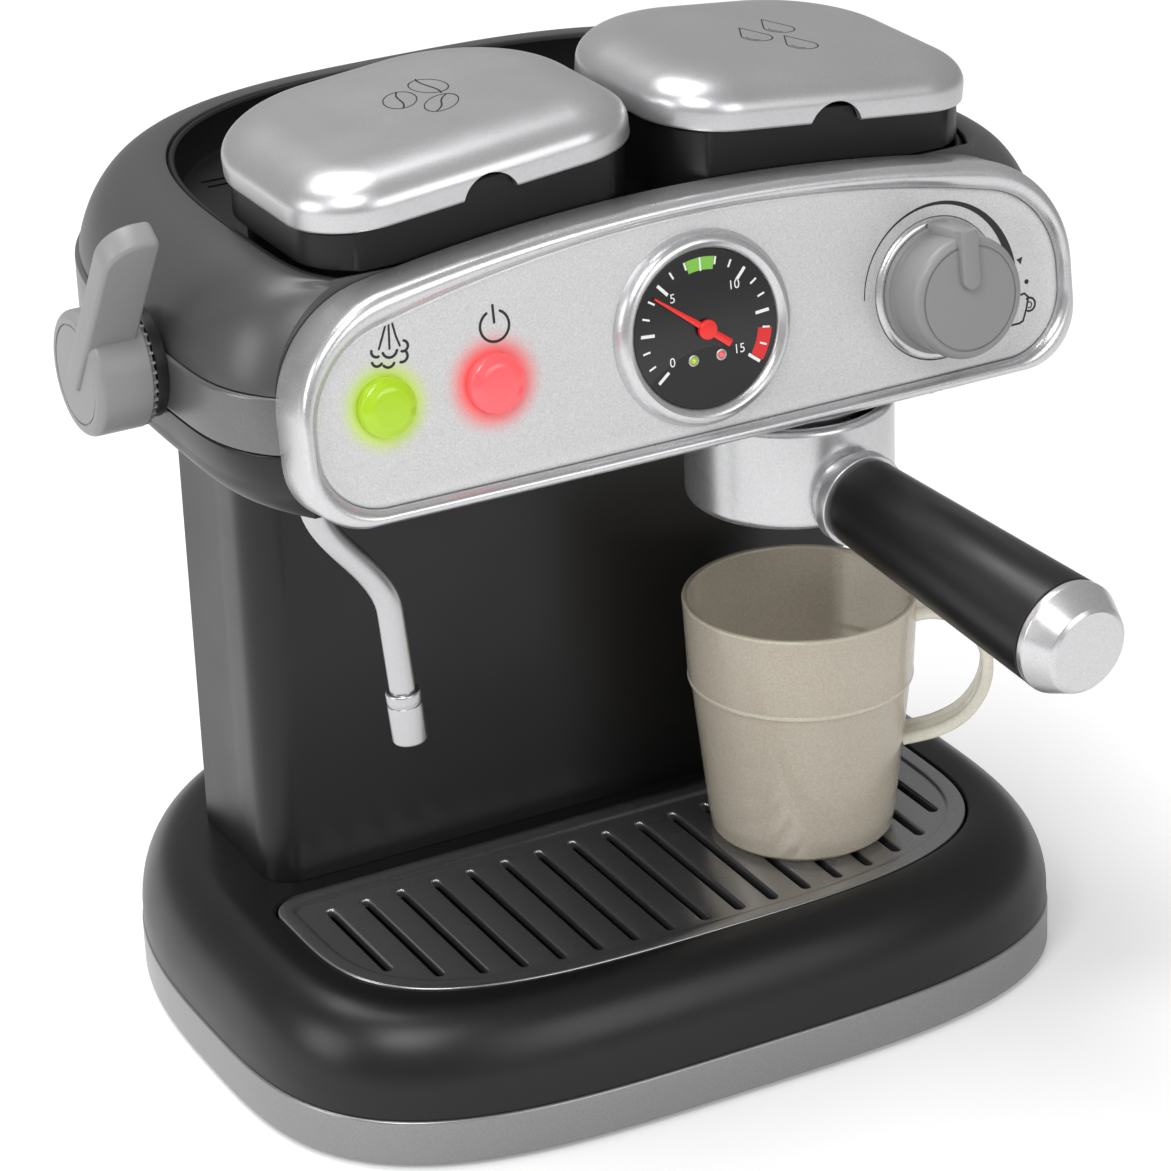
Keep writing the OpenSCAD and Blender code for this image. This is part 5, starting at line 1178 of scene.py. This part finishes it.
def make_cup_ear():
    """Ear: a strap with raised edges, from the rim band down to the cup's lower wall."""
    turn = radians(-30)
    route = [(-2.2, 58.6), (4.5, 59.4), (12, 56.5), (16.6, 48.6), (16.4, 39.6), (11.8, 31.6),
             (4.6, 27.0), (-4.0, 24.8)]
    path = smooth_route([(CUP_R + a, b, 0) for a, b in route], 8)
    corners = [(-1.5, -4.5, 0.7), (1.5, -4.5, 0.7), (1.5, -2.9, 0.5), (0.8, -2.3, 0.4),
               (0.8, 2.3, 0.4), (1.5, 2.9, 0.5)]
    section = rounded(corners + [(-x, -y, r) for x, y, r in corners], 3)
    rings = []
    for i, p in enumerate(path):
        t = heading(path, i)
        t = t / np.linalg.norm(t)
        ring = []
        for across, wide in section:
            r = p[0] + t[1] * across
            ring.append((CUP_X + r * cos(turn) - wide * sin(turn),
                         CUP_Y + r * sin(turn) + wide * cos(turn), CUP_Z + p[1] - t[0] * across))
        rings.append(ring)
    # The ear is drawn in the lighter cup copy, a painted highlight.
    Shape().loft(rings).piece("cup_ear", "cup_edge", "drinking_cup")


# ---- the rest of the nodes
def dress_nodes():
    """Gives the nodes that stay as they are their own materials."""
    for look, names in (
            ("black", "base_plate battery_box battery_door speaker drip_tray bezel_clips "
                      "panel_carrier board_parts"),
            ("steel", "base_screws battery_contacts battery_door_screw column_screws head_screws "
                      "steam_button_spring power_button_spring filter_basket"),
            ("rubber", "rubber_feet"), ("cell", "batteries"), ("board", "circuit_board"),
            ("pale", "valve_body"), ("hose", "tank_hose spout_hose"), ("wire", "wire_harness")):
        for name in names.split():
            mesh = NODES[name].data
            mesh.materials.clear()
            mesh.materials.append(M[look])


# ---- stage
def make_stage():
    """Pale floor, even white world that lights less than it shows, and four area lamps."""
    scene = bpy.context.scene
    floor_mat, tree, bsdf = new_material("floor_white", (0.9, 0.9, 0.9), 0.9)
    path = add(tree, "ShaderNodeLightPath")
    glow = add(tree, "ShaderNodeMath", operation="MULTIPLY")
    glow.inputs[1].default_value = 0.2
    tree.links.new(path.outputs["Is Camera Ray"], glow.inputs[0])
    bsdf.inputs["Emission Color"].default_value = (1, 1, 1, 1)
    tree.links.new(glow.outputs["Value"], bsdf.inputs["Emission Strength"])
    mesh = bpy.data.meshes.new("floor")
    half = 6.0
    mesh.from_pydata([(-half, -half, 0), (half, -half, 0), (half, half, 0), (-half, half, 0)],
                     [], [(0, 1, 2, 3)])
    mesh.materials.append(floor_mat)
    floor = bpy.data.objects.new("floor", mesh)
    scene.collection.objects.link(floor)

    world = bpy.data.worlds.new("studio")
    scene.world = world
    world.use_nodes = True
    tree = world.node_tree
    back = tree.nodes["Background"]
    back.inputs["Color"].default_value = (1, 1, 1, 1)
    path = add(tree, "ShaderNodeLightPath")
    strength = remap(tree, path.outputs["Is Camera Ray"], 0.32, 1.0, 0, 1)
    tree.links.new(strength, back.inputs["Strength"])

    aim = Vector((0, 0, 0.12))
    for name, place, size, power in (
            ("key", (-0.9, -0.9, 1.5), 0.8, 15), ("front", (0.4, -1.7, 0.9), 1.0, 8),
            ("left", (-1.7, 0.1, 0.7), 0.8, 8), ("top", (-0.3, 0.5, 1.8), 1.0, 20)):
        lamp = bpy.data.lights.new(name, "AREA")
        lamp.energy = power
        lamp.size = size
        obj = bpy.data.objects.new(name, lamp)
        obj.location = place
        obj.rotation_euler = (aim - Vector(place)).to_track_quat("-Z", "Y").to_euler()
        scene.collection.objects.link(obj)


def make_camera():
    """Camera at the photograph's angle: turned, raised and a little rolled."""
    azimuth, rise, roll = radians(-27.30), radians(24.72), radians(-2.11)
    distance, focal_px, frame_px, sensor = 1058.9, 4193.0, 1171.0, 36.0
    target, shift_right, shift_up = Vector((0, -8, 37)), -2.33, 62.25
    back = Vector((sin(azimuth) * cos(rise), -cos(azimuth) * cos(rise), sin(rise)))
    right = Vector((cos(azimuth), sin(azimuth), 0))
    up = back.cross(right)
    place = target + back * distance + right * shift_right + up * shift_up
    turn = Matrix((right * cos(roll) + up * sin(roll), up * cos(roll) - right * sin(roll),
                   back)).transposed()
    camera = bpy.data.cameras.new("camera")
    camera.lens = sensor * focal_px / frame_px
    camera.sensor_width = sensor
    camera.clip_end = 50
    obj = bpy.data.objects.new("camera", camera)
    obj.matrix_world = Matrix.Translation(place * MM) @ turn.to_4x4()
    bpy.context.scene.collection.objects.link(obj)
    bpy.context.scene.camera = obj
    bpy.context.scene.view_settings.view_transform = "Standard"


for make in (make_camera, make_stage, make_base, make_grid, make_column, make_head,
             make_top_tray, make_bezel, make_fascia, make_gauge, make_needle, make_buttons,
             make_knob, make_face_prints, make_steam_knob, make_wand, make_group, make_handle,
             make_lids, make_tubs, make_cup, make_cup_ear, dress_nodes):
    make()

bpy.context.view_layer.update()
